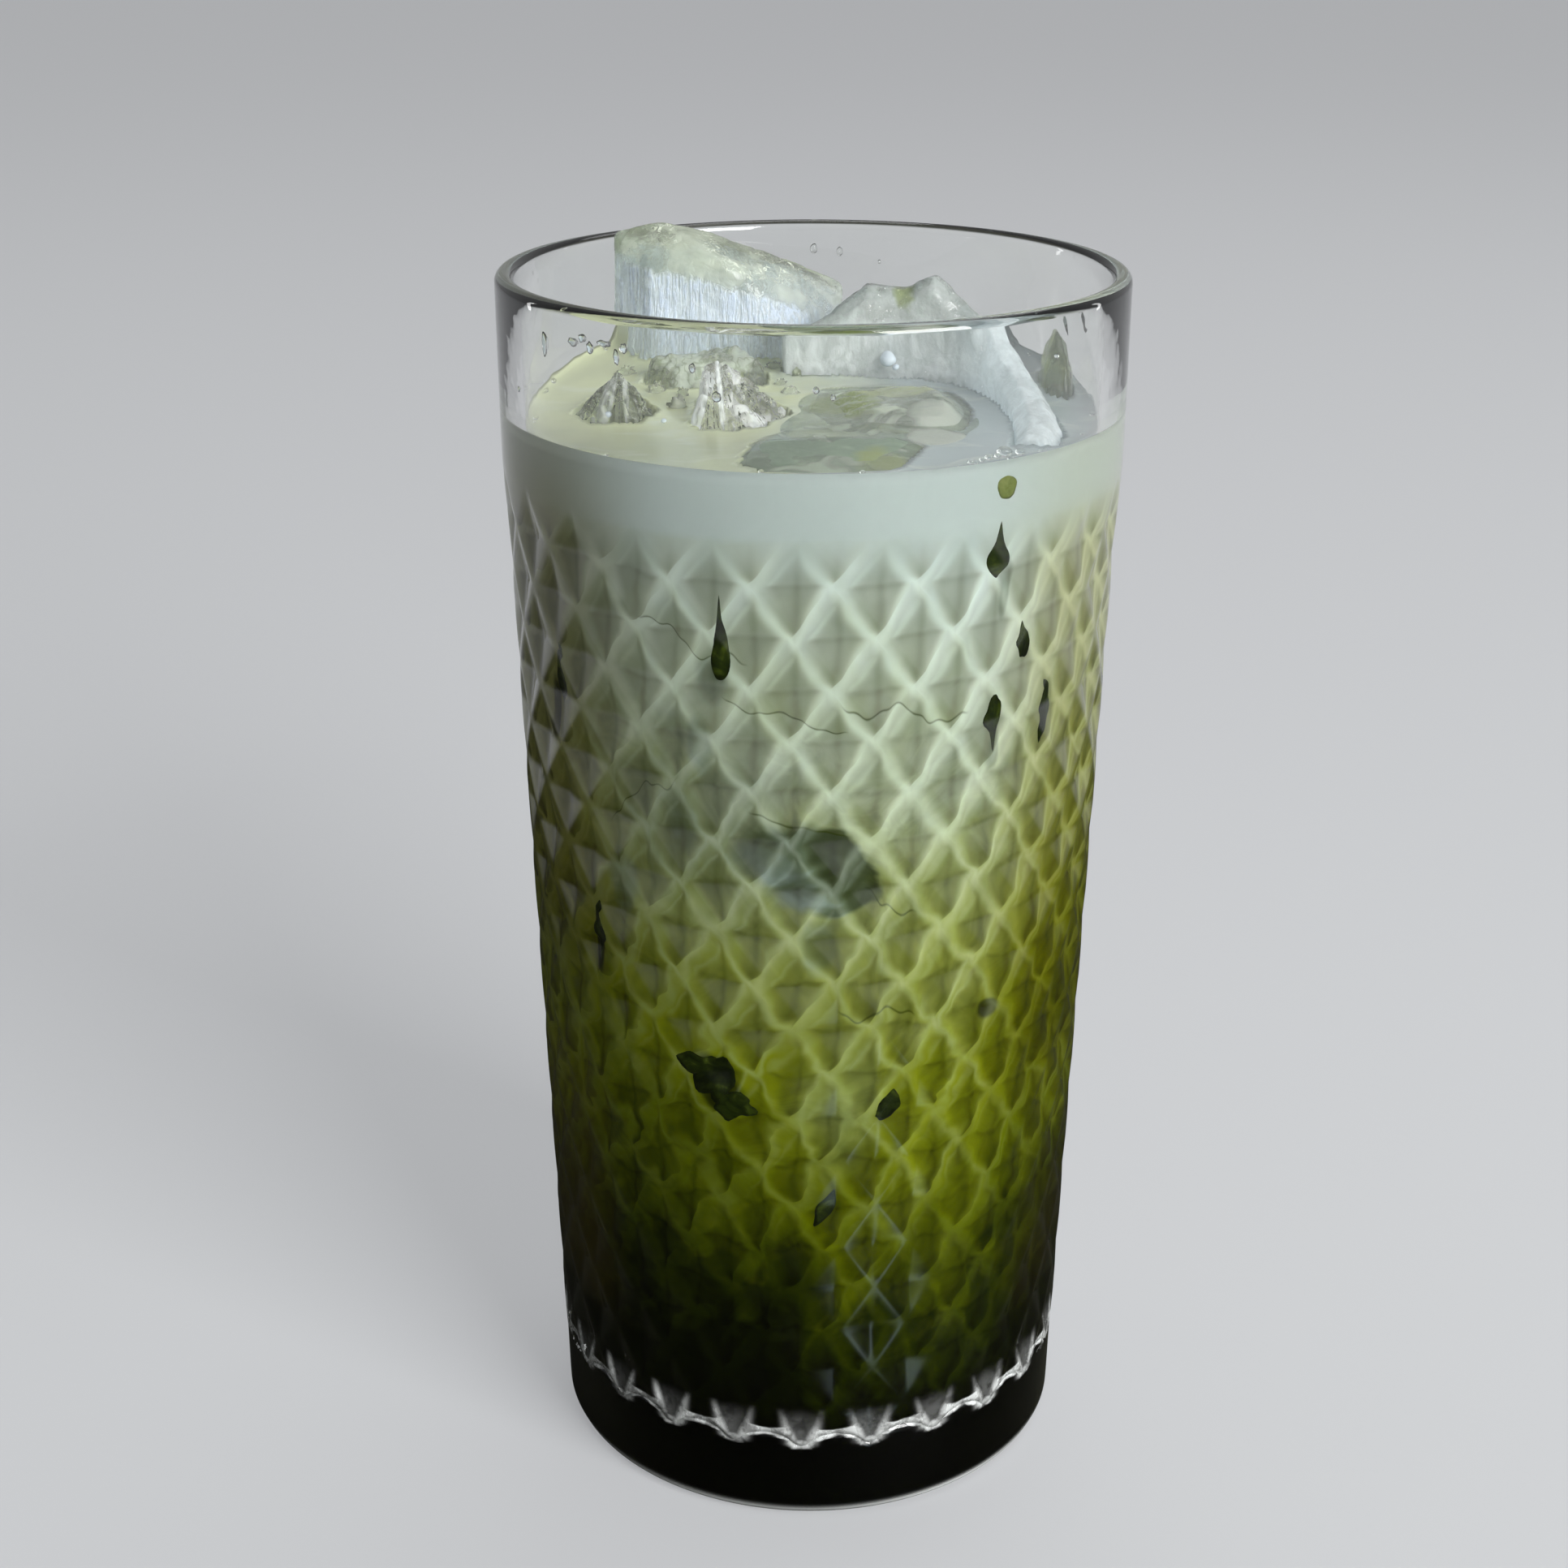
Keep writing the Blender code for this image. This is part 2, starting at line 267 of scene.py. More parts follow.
def ledge_glass_material():
    """Clear glass with a whitish edge where the relief ends, partly worked glass and partly a painted highlight for the
    light it catches, and a thin painted highlight line round the foot.
    """
    mat, bsdf, nodes, pos = new_material("ledge_painted_highlights")
    deg, z = column_and_height(nodes, pos)
    c = nodes.math("DIVIDE", nodes.math("SUBTRACT", deg, PHASE), 360.0 / COLS)
    half = nodes.math("MULTIPLY", c, 0.5)
    tri = nodes.math("MULTIPLY", nodes.math("ABSOLUTE", nodes.math("SUBTRACT", half, nodes.math("ROUND", half))), 2.0)
    jit = nodes.math("MULTIPLY", nodes.math("SUBTRACT", nodes.noise(pos, 0.35, 2.0), 0.5), 0.9)
    zz = nodes.math("ADD", z, jit)
    wide = nodes.math("ADD", nodes.math("MULTIPLY", nodes.math("SUBTRACT", zz, 11.0), 0.072), 0.24)
    off = nodes.math("SUBTRACT", tri, wide)
    outline = nodes.math("MULTIPLY", bell(nodes, off, nodes.mapr(zz, 11.0, 15.5, 0.17, 0.09, smooth=False)), nodes.mapr(zz, 10.3, 11.0))
    outline = nodes.math("MULTIPLY", outline, nodes.mapr(zz, 16.4, 13.6))
    # painted light: above its lowest part the edge is drawn brighter on the left and dimmer from the front round to the
    # right, as the light falls
    painted_side_gain = nodes.math("ADD", nodes.mapr(deg, -42.0, -8.0, 0.5, -0.62), nodes.mapr(deg, 36.0, 70.0, 0.0, 0.2))
    painted_side_gain = nodes.math("MULTIPLY", painted_side_gain, nodes.mapr(zz, 12.6, 14.2))
    outline = nodes.math("MULTIPLY", outline, nodes.math("ADD", 1.0, painted_side_gain))
    thick = nodes.mapr(tri, 0.35, 1.0, 1.05, 0.42)
    seg = nodes.math("SUBTRACT", nodes.math("ABSOLUTE", nodes.math("SUBTRACT", zz, 12.5)), thick)
    seg = nodes.math("MULTIPLY", nodes.mapr(seg, 0.22, -0.12), nodes.mapr(off, -0.04, 0.06))
    tip = nodes.math("MULTIPLY", nodes.mapr(tri, 0.36, 0.20), nodes.math("MULTIPLY", nodes.mapr(zz, 10.1, 10.7), nodes.mapr(zz, 12.0, 11.2)))
    heart = nodes.math("MULTIPLY", nodes.mapr(off, 0.02, -0.10, 0.0, 0.10), nodes.math("MULTIPLY", nodes.mapr(zz, 10.8, 11.6), nodes.mapr(zz, 16.0, 13.2)))
    white = nodes.math("MAXIMUM", nodes.math("MAXIMUM", nodes.math("MULTIPLY", outline, 0.75), nodes.math("MULTIPLY", seg, 0.9)), nodes.math("MULTIPLY", tip, 0.8))
    white = nodes.math("MAXIMUM", white, heart)
    grain = nodes.noise(pos, 0.7, 3.0, 0.6)
    white = nodes.math("MULTIPLY", white, nodes.mapr(grain, 0.34, 0.58, 0.38, 1.0))
    # painted highlight: a thin light line round the bottom of the foot where its edge catches the light, strongest
    # about 40 degrees either side of the front
    foot = nodes.math("MULTIPLY", bell(nodes, nodes.math("SUBTRACT", z, 0.80), 0.40), 1.0)
    foot = nodes.math("MULTIPLY", foot, nodes.mapr(nodes.math("ABSOLUTE", nodes.math("SUBTRACT", nodes.math("ABSOLUTE", deg), 40.0)), 0.0, 40.0, 1.0, 0.55))
    white = nodes.math("MAXIMUM", white, foot)
    nodes.link(nodes.mix(white, (0.95, 0.97, 0.95), (0.80, 0.83, 0.82)), bsdf.inputs["Base Color"])
    nodes.link(nodes.mapr(white, 0.0, 1.0, 1.0, 0.12, smooth=False), bsdf.inputs["Transmission Weight"])
    nodes.link(nodes.mapr(white, 0.0, 1.0, 0.02, 0.34, smooth=False), bsdf.inputs["Roughness"])
    bsdf.inputs["IOR"].default_value = 1.5
    bump(nodes, nodes.noise(pos, 0.9, 2.0), 0.35, 0.12, bsdf)
    return mat


def lattice(nodes, deg, z, pos):
    """The light that the pressed cups throw on the drink. Returns the brightness factor, the share of bright band and
    the share of dark cushion."""
    warp = nodes.add("ShaderNodeSeparateColor")
    nodes.link(nodes.noise_color(pos, 0.17, 2.0), warp.inputs[0])
    bend = nodes.math("ADD", nodes.mapr(z, 116.0, 56.0, 0.16, 1.05, smooth=False), nodes.mapr(deg, -5.0, -50.0, 0.0, 0.40))
    wc = nodes.math("MULTIPLY", nodes.math("SUBTRACT", warp.outputs[0], 0.5), bend)
    wk = nodes.math("MULTIPLY", nodes.math("SUBTRACT", warp.outputs[1], 0.5), bend)
    slow = nodes.math("SINE", nodes.math("MULTIPLY", deg, math.pi / 180.0))
    c = nodes.math("DIVIDE", nodes.math("SUBTRACT", deg, PHASE), 360.0 / COLS)
    c = nodes.math("ADD", nodes.math("SUBTRACT", c, nodes.math("MULTIPLY", slow, 0.16)), 0.31)
    c = nodes.math("ADD", c, wc)
    zo = nodes.math("ADD", nodes.math("MULTIPLY", z, 1.0 - 0.0067), 1.6 - ROW0_Z)
    k = nodes.math("ADD", nodes.math("DIVIDE", zo, ROW_H), wk)
    a = nodes.math("MULTIPLY", nodes.math("ADD", c, k), 0.5)
    b = nodes.math("MULTIPLY", nodes.math("SUBTRACT", c, k), 0.5)
    fa = nodes.math("SUBTRACT", a, nodes.math("ROUND", a))
    fb = nodes.math("SUBTRACT", b, nodes.math("ROUND", b))
    ga = nodes.math("FRACT", a)
    gb = nodes.math("FRACT", b)
    swell = nodes.mapr(nodes.noise(pos, 0.12, 1.0), 0.36, 0.64, 0.75, 1.35)
    bow = nodes.math("MULTIPLY", nodes.math("SINE", nodes.math("MULTIPLY", gb, math.pi)), 0.065)
    line_a = bell(nodes, nodes.math("ADD", fa, bow), nodes.math("MULTIPLY", swell, 0.088))
    tilt = nodes.math("SUBTRACT", 0.118, nodes.math("MULTIPLY", ga, 0.20))
    line_b = bell(nodes, nodes.math("SUBTRACT", fb, tilt), nodes.math("MULTIPLY", swell, 0.086))
    line_c = bell(nodes, nodes.math("SUBTRACT", fb, 0.205), 0.042)
    ends = nodes.math("MULTIPLY", nodes.mapr(ga, 0.10, 0.30), nodes.mapr(ga, 0.98, 0.82))
    line_c = nodes.math("MULTIPLY", nodes.math("MULTIPLY", line_c, ends), 0.60)
    near = nodes.math("ADD", nodes.math("MULTIPLY", fa, fa), nodes.math("MULTIPLY", fb, fb))
    blob = nodes.math("EXPONENT", nodes.math("DIVIDE", near, -0.020))
    band = nodes.math("MAXIMUM", nodes.math("MAXIMUM", line_a, nodes.math("MULTIPLY", line_b, 0.92)), line_c)
    band = nodes.math("ADD", nodes.math("MULTIPLY", band, 0.86), nodes.math("MULTIPLY", blob, 0.26))
    glow = nodes.math("MAXIMUM", bell(nodes, fa, 0.20), bell(nodes, fb, 0.20))
    # the cushion: a wide shield under the cup's middle and a narrow tent over it
    ua = nodes.math("SUBTRACT", ga, 0.5)
    ub = nodes.math("SUBTRACT", gb, 0.5)
    u = nodes.math("SUBTRACT", nodes.math("ADD", ua, ub), 0.12)
    w = nodes.math("SUBTRACT", ua, ub)
    low = nodes.math("MULTIPLY", nodes.math("POWER", nodes.math("DIVIDE", nodes.math("ADD", w, 0.95), 0.95, clamp=True), 0.70), 0.70)
    high = nodes.math("POWER", nodes.math("SUBTRACT", 1.0, nodes.math("DIVIDE", w, 0.85), clamp=True), 1.9)
    high = nodes.math("ADD", nodes.math("MULTIPLY", high, 0.50), 0.10)
    over = nodes.mapr(w, -0.06, 0.06)
    edge = nodes.math("ADD", nodes.math("MULTIPLY", low, nodes.math("SUBTRACT", 1.0, over)), nodes.math("MULTIPLY", high, over))
    inside = nodes.mapr(nodes.math("SUBTRACT", edge, nodes.math("ABSOLUTE", u)), -0.17, 0.20)
    inside = nodes.math("MULTIPLY", inside, nodes.mapr(w, 0.98, 0.62))
    dark = nodes.math("ADD", nodes.mapr(w, 0.07, -0.07, 0.46, 0.76), nodes.math("MULTIPLY", bell(nodes, u, 0.12), 0.34))
    dark = nodes.math("ADD", dark, nodes.math("MULTIPLY", bell(nodes, w, 0.09), 0.24))
    dark = nodes.math("ADD", dark, nodes.mapr(w, -0.25, -0.85, 0.0, 0.22))
    dark = nodes.math("MULTIPLY", dark, inside)
    fade = nodes.mapr(z, 121.0, 128.0, 1.0, 0.0)
    calm = nodes.mapr(deg, -55.0, -8.0, 0.62, 1.0)
    lines = nodes.math("MULTIPLY", nodes.math("MULTIPLY", calm, nodes.mapr(z, 55.0, 104.0, 0.62, 1.0)), fade)
    lines = nodes.math("MULTIPLY", lines, nodes.mapr(z, 26.0, 60.0, 0.40, 1.0))
    broken = nodes.mapr(nodes.noise(pos, 0.20, 2.0, 0.5, 0.5), 0.38, 0.62, 0.45, 1.25)
    lines = nodes.math("MULTIPLY", lines, nodes.math("ADD", nodes.math("MULTIPLY", nodes.math("SUBTRACT", broken, 1.0), nodes.mapr(z, 84.0, 58.0)), 1.0))
    band = nodes.math("MULTIPLY", band, lines)
    dark = nodes.math("MULTIPLY", nodes.math("MULTIPLY", dark, fade), nodes.mapr(z, 60.0, 100.0, 1.18, 1.0))
    factor = nodes.math("SUBTRACT", 1.14, nodes.math("MULTIPLY", dark, 0.46))
    factor = nodes.math("ADD", factor, nodes.math("MULTIPLY", band, 0.30))
    factor = nodes.math("ADD", factor, nodes.math("MULTIPLY", nodes.math("MULTIPLY", glow, lines), 0.08))
    return factor, band, dark


def patch(nodes, deg, z, at_deg, at_z, half_deg, half_z, wobble, soft=0.35, lean=0.0):
    """A soft-edged patch round (at_deg, at_z) on the drink's side, 1 inside and 0 outside."""
    dx = nodes.math("SUBTRACT", deg, at_deg)
    dz = nodes.math("SUBTRACT", z, at_z)
    if lean:
        dz = nodes.math("ADD", dz, nodes.math("MULTIPLY", dx, lean))
    dx = nodes.math("DIVIDE", dx, half_deg)
    dz = nodes.math("DIVIDE", dz, half_z)
    r = nodes.math("SQRT", nodes.math("ADD", nodes.math("MULTIPLY", dx, dx), nodes.math("MULTIPLY", dz, dz)))
    r = nodes.math("ADD", r, wobble)
    inner = nodes.math("SUBTRACT", 1.0, soft)
    return nodes.mapr(r, inner, 1.0, 1.0, 0.0)


def thread_line(nodes, deg, z, start, end, sway, width, seed):
    """A thin wavy line across the drink's side between two (azimuth, height) points; also the soft stain above it."""
    (d0, z0), (d1, z1) = start, end
    slope = (z1 - z0) / (d1 - d0)
    wave = nodes.math("SINE", nodes.math("ADD", nodes.math("MULTIPLY", deg, 0.42), seed))
    wave2 = nodes.math("SINE", nodes.math("ADD", nodes.math("MULTIPLY", deg, 1.13), seed * 2.3))
    wave = nodes.math("ADD", nodes.math("MULTIPLY", wave, 0.16 * sway), nodes.math("MULTIPLY", nodes.math("MULTIPLY", wave2, wave), 0.09 * sway))
    path = nodes.math("ADD", nodes.math("ADD", nodes.math("MULTIPLY", nodes.math("SUBTRACT", deg, d0), slope), z0), wave)
    gap = nodes.math("SUBTRACT", z, path)
    window = nodes.math("MULTIPLY", nodes.mapr(deg, d0 - 1.0, d0 + 1.5), nodes.mapr(deg, d1 + 1.0, d1 - 1.5))
    line = nodes.math("MULTIPLY", bell(nodes, gap, width), window)
    stain = nodes.math("MULTIPLY", nodes.math("MULTIPLY", nodes.mapr(gap, -0.1, 0.2), nodes.mapr(gap, 4.0, 0.2)), window)
    return line, stain


def drink_material():
    mat, bsdf, nodes, pos = new_material("green_tea_milk")
    deg, z = column_and_height(nodes, pos)
    # slow curls of tea in the milk
    curl = nodes.noise_color(pos, 0.035, 2.0)
    curl = nodes.vmath("SUBTRACT", curl, (0.5, 0.5, 0.5))
    curled = nodes.vmath("ADD", pos, nodes.vmath("SCALE", curl, scale=34.0))
    stretch = nodes.vmath("MULTIPLY", curled, (1.0, 1.0, 0.62))
    broad = nodes.noise(stretch, 0.034, 3.0, 0.5)
    fine = nodes.noise(stretch, 0.11, 4.0, 0.55, 0.6)
    curdle = nodes.noise(pos, 0.28, 3.0, 0.5, 0.8)
    sway = nodes.math("MULTIPLY", nodes.math("SUBTRACT", broad, 0.5), 40.0)
    sway2 = nodes.math("MULTIPLY", nodes.math("SUBTRACT", fine, 0.5), 22.0)
    sway3 = nodes.math("MULTIPLY", nodes.math("SUBTRACT", curdle, 0.5), 12.0)
    # the milk hangs lower towards the right front
    side = nodes.mapr(deg, -60.0, 40.0, 9.0, -3.0)
    side = nodes.math("ADD", side, nodes.mapr(deg, 34.0, 64.0, 0.0, 15.0))
    turned = nodes.mapr(nodes.math("ABSOLUTE", deg), 78.0, 125.0)
    facing = nodes.math("SUBTRACT", 1.0, turned)
    side = nodes.math("ADD", nodes.math("MULTIPLY", side, facing), nodes.math("MULTIPLY", turned, 5.0))
    h = nodes.math("SUBTRACT", nodes.math("ADD", nodes.math("ADD", nodes.math("ADD", z, sway), sway2), sway3), side)
    for at_deg, at_z, half_deg, half_z, lift in ((-20.0, 43.0, 15.0, 9.0, 5.2), (13.0, 39.0, 13.0, 8.0, -3.0), (1.0, 56.0, 10.0, 7.5, 4.8), (17.0, 65.0, 8.0, 6.0, 5.2), (17.0, 51.0, 7.0, 5.0, -3.0), (34.0, 62.0, 9.0, 7.0, -2.5)):
        swell = nodes.math("MULTIPLY", bell(nodes, nodes.math("SUBTRACT", deg, at_deg), half_deg), bell(nodes, nodes.math("SUBTRACT", z, at_z), half_z))
        h = nodes.math("ADD", h, nodes.math("MULTIPLY", swell, lift))
    h = nodes.math("MAXIMUM", h, nodes.mapr(z, 118.0, 129.0, 0.0, 140.0))
    t = nodes.math("DIVIDE", h, 140.0, clamp=True)
    body = nodes.ramp(t, [
        (0.00, lin(7, 10, 0)),
        (0.13, lin(16, 21, 0)),
        (0.21, lin(48, 57, 0)),
        (0.30, lin(98, 108, 0)),
        (0.43, lin(134, 144, 16)),
        (0.53, lin(150, 160, 74)),
        (0.62, lin(160, 171, 112)),
        (0.72, lin(178, 190, 160)),
        (0.83, lin(190, 202, 188)),
        (0.93, lin(194, 207, 201)),
        (1.00, lin(194, 207, 202)),
    ])
    milky = nodes.mapr(t, 0.18, 0.60, 0.0, 1.0)
    # murky windows where ice lies against the wall, and the pale milk round them
    wobble = nodes.math("MULTIPLY", nodes.math("SUBTRACT", nodes.noise(pos, 0.13, 3.0, 0.5, 0.4), 0.5), 0.9)
    murk = patch(nodes, deg, z, -2.5, 89.0, 16.5, 6.0, wobble, nodes.mapr(deg, -18.0, 6.0, 0.55, 0.14), 0.17)
    for spot in ((1.0, 79.0, 4.2, 4.0), (-22.0, 103.0, 3.0, 4.4), (-19.5, 111.0, 4.2, 4.2), (-26.0, 93.0, 5.0, 4.5), (-41.0, 84.0, 4.5, 5.5), (36.5, 101.0, 2.2, 3.4), (37.0, 120.0, 2.0, 4.5)):
        other = patch(nodes, deg, z, *spot, wobble, 0.5)
        murk = nodes.math("MAXIMUM", murk, nodes.math("MULTIPLY", other, 0.55))
    shade = nodes.noise(nodes.vmath("MULTIPLY", pos, (1.0, 1.0, 1.4)), 0.15, 2.0, 0.5, 0.5)
    shade = nodes.math("ADD", shade, nodes.mapr(deg, -16.0, 8.0, 0.10, -0.07))
    shade = nodes.math("ADD", shade, nodes.mapr(nodes.math("ADD", z, nodes.math("MULTIPLY", deg, 0.16)), 93.0, 85.0, -0.05, 0.07))
    murk_tone = nodes.ramp(shade, [(0.34, lin(62, 76, 46)), (0.50, lin(98, 114, 90)), (0.66, lin(142, 160, 158))])
    body = nodes.mix(nodes.math("MULTIPLY", murk, 0.90), body, murk_tone)
    dark = patch(nodes, deg, z, -20.5, 60.5, 6.0, 4.2, wobble, 0.35, 0.25)
    for spot in ((39.5, 67.5, 4.5, 1.8), (-49.0, 74.0, 2.2, 5.0), (-60.0, 102.0, 2.0, 5.0)):
        dark = nodes.math("MAXIMUM", dark, patch(nodes, deg, z, *spot, wobble, 0.4))
    body = nodes.mix(nodes.math("MULTIPLY", dark, 0.80), body, lin(26, 33, 3))
    # tea drawn up on the left of the murk
    drawn = patch(nodes, deg, z, -24.0, 93.0, 24.0, 17.0, wobble, 0.9)
    body = nodes.mix(nodes.math("MULTIPLY", drawn, 0.54), body, lin(80, 90, 30))
    # a paler, creamier patch low at the front
    cream = patch(nodes, deg, z, 6.0, 58.0, 13.0, 12.0, wobble, 0.9)
    body = nodes.mix(nodes.math("MULTIPLY", cream, 0.42), body, lin(158, 172, 120))
    # thin threads of tea
    line, stain = None, None
    for start, end, swing, width, seed in (
            ((5.0, 108.2), (30.0, 105.6), 4.6, 0.14, 1.0), ((-17.0, 108.6), (6.0, 105.2), 2.4, 0.10, 4.0),
            ((5.0, 70.5), (21.0, 69.5), 4.5, 0.17, 7.0), ((10.0, 86.0), (20.0, 82.5), 7.0, 0.15, 11.0),
            ((-34.0, 117.0), (-13.0, 112.5), 5.0, 0.10, 14.0), ((-12.5, 95.4), (6.5, 92.6), 1.2, 0.13, 19.0),
            ((-44.0, 92.0), (-27.0, 99.0), 6.0, 0.10, 23.0)):
        l, st = thread_line(nodes, deg, z, start, end, swing, width, seed)
        line = l if line is None else nodes.math("MAXIMUM", line, l)
        stain = st if stain is None else nodes.math("MAXIMUM", stain, st)
    body = nodes.mix(nodes.math("MULTIPLY", stain, 0.20), body, lin(120, 130, 40))
    body = nodes.mix(nodes.math("MULTIPLY", line, 0.72), body, lin(66, 78, 8))
    factor, band, cushion = lattice(nodes, deg, z, pos)
    # small swirls that mottle the light
    swirl = nodes.noise(nodes.vmath("MULTIPLY", curled, (1.0, 1.0, 0.8)), 0.24, 3.0, 0.55, 1.2)
    mottle = nodes.mapr(swirl, 0.30, 0.70, -0.13, 0.13, smooth=False)
    mottle = nodes.math("MULTIPLY", mottle, nodes.mapr(z, 118.0, 96.0, 0.12, 1.0))
    factor = nodes.math("ADD", factor, mottle)
    factor = nodes.math("MULTIPLY", factor, nodes.math("SUBTRACT", 1.0, nodes.math("MULTIPLY", murk, 0.06)))
    # painted light and shade from the cups: the bright bands whiten the drink and the dark cushions shade it
    white = nodes.math("MULTIPLY", nodes.math("MULTIPLY", band, milky), 0.34)
    pale = nodes.mix(white, body, nodes.mix(0.70, body, lin(196, 208, 200)))
    cushion_shade = nodes.vmath("MULTIPLY", pale, (0.99, 0.98, 0.84))
    pale = nodes.mix(nodes.math("MULTIPLY", cushion, 0.85), pale, cushion_shade)
    # painted shade: the drink is drawn darker and browner towards both sides, where it curves away from the light
    left = nodes.mapr(deg, -26.0, -60.0)
    left = nodes.math("MULTIPLY", left, nodes.math("MULTIPLY", nodes.mapr(z, 56.0, 82.0), nodes.mapr(z, 137.0, 124.0, 0.5, 1.0)))
    left = nodes.math("MULTIPLY", left, facing)
    pale = nodes.mix(left, pale, nodes.vmath("MULTIPLY", pale, nodes.mix(nodes.mapr(z, 88.0, 118.0), (0.63, 0.55, 0.28), (0.47, 0.42, 0.22))))
    right = nodes.mapr(deg, 26.0, 58.0)
    right = nodes.math("MULTIPLY", right, nodes.math("MULTIPLY", nodes.mapr(z, 46.0, 62.0), nodes.mapr(z, 130.0, 120.0, 0.4, 1.0)))
    right = nodes.math("MULTIPLY", right, facing)
    pale = nodes.mix(right, pale, nodes.vmath("MULTIPLY", pale, nodes.mix(nodes.mapr(z, 62.0, 92.0), (0.57, 0.52, 0.10), (0.76, 0.70, 0.48))))
    lit = nodes.vmath("SCALE", pale, scale=factor)
    # painted light: an amber glow is added near both sides of the lower tea, strongest on the left, where light shines
    # through the tea
    amber = nodes.math("MULTIPLY", nodes.mapr(nodes.math("ABSOLUTE", deg), 44.0, 62.0), nodes.math("MULTIPLY", nodes.mapr(z, 66.0, 52.0), nodes.mapr(z, 17.0, 28.0)))
    amber = nodes.math("MULTIPLY", amber, nodes.mapr(deg, -50.0, 50.0, 2.7, 0.7))
    amber = nodes.math("MULTIPLY", amber, facing)
    lit = nodes.vmath("ADD", lit, nodes.vmath("SCALE", (0.024, 0.018, 0.002), scale=amber))
    nodes.link(lit, bsdf.inputs["Base Color"])
    bsdf.inputs["Roughness"].default_value = 0.5
    bsdf.inputs["Specular IOR Level"].default_value = 0.0
    return mat


def surface_material():
    mat, bsdf, nodes, pos = new_material("milk_surface")
    sep = nodes.add("ShaderNodeSeparateXYZ")
    nodes.link(pos, sep.inputs[0])
    x, y, z = sep.outputs
    swept = nodes.vmath("ADD", pos, nodes.vmath("SCALE", nodes.noise_color(pos, 0.06), scale=16.0))
    flow = nodes.noise(swept, 0.07, 3.0)
    left = nodes.mapr(nodes.math("ADD", x, nodes.math("MULTIPLY", nodes.math("SUBTRACT", flow, 0.5), 30.0)), -6.0, 10.0, 1.0, 0.0)
    col = nodes.mix(left, lin(177, 189, 190), lin(211, 218, 178))
    # a darker, greener wash to the front left
    front = nodes.mapr(nodes.math("ADD", y, nodes.math("MULTIPLY", nodes.math("SUBTRACT", nodes.noise(swept, 0.11, 2.0), 0.5), 18.0)), -10.0, -24.0, 0.0, 0.55)
    col = nodes.mix(nodes.math("MULTIPLY", front, left), col, lin(192, 200, 168))
    streak = nodes.noise(nodes.vmath("MULTIPLY", swept, (0.6, 1.6, 1.0)), 0.16, 3.0, 0.5, 0.8)
    col = nodes.mix(nodes.mapr(streak, 0.52, 0.70, 0.0, 0.35), col, lin(222, 230, 214))
    nodes.link(col, bsdf.inputs["Base Color"])
    bsdf.inputs["Roughness"].default_value = 0.16
    bsdf.inputs["IOR"].default_value = 1.35
    ripple = nodes.noise(pos, 0.16, 2.0)
    bump(nodes, ripple, 0.25, 0.3, bsdf)
    return mat


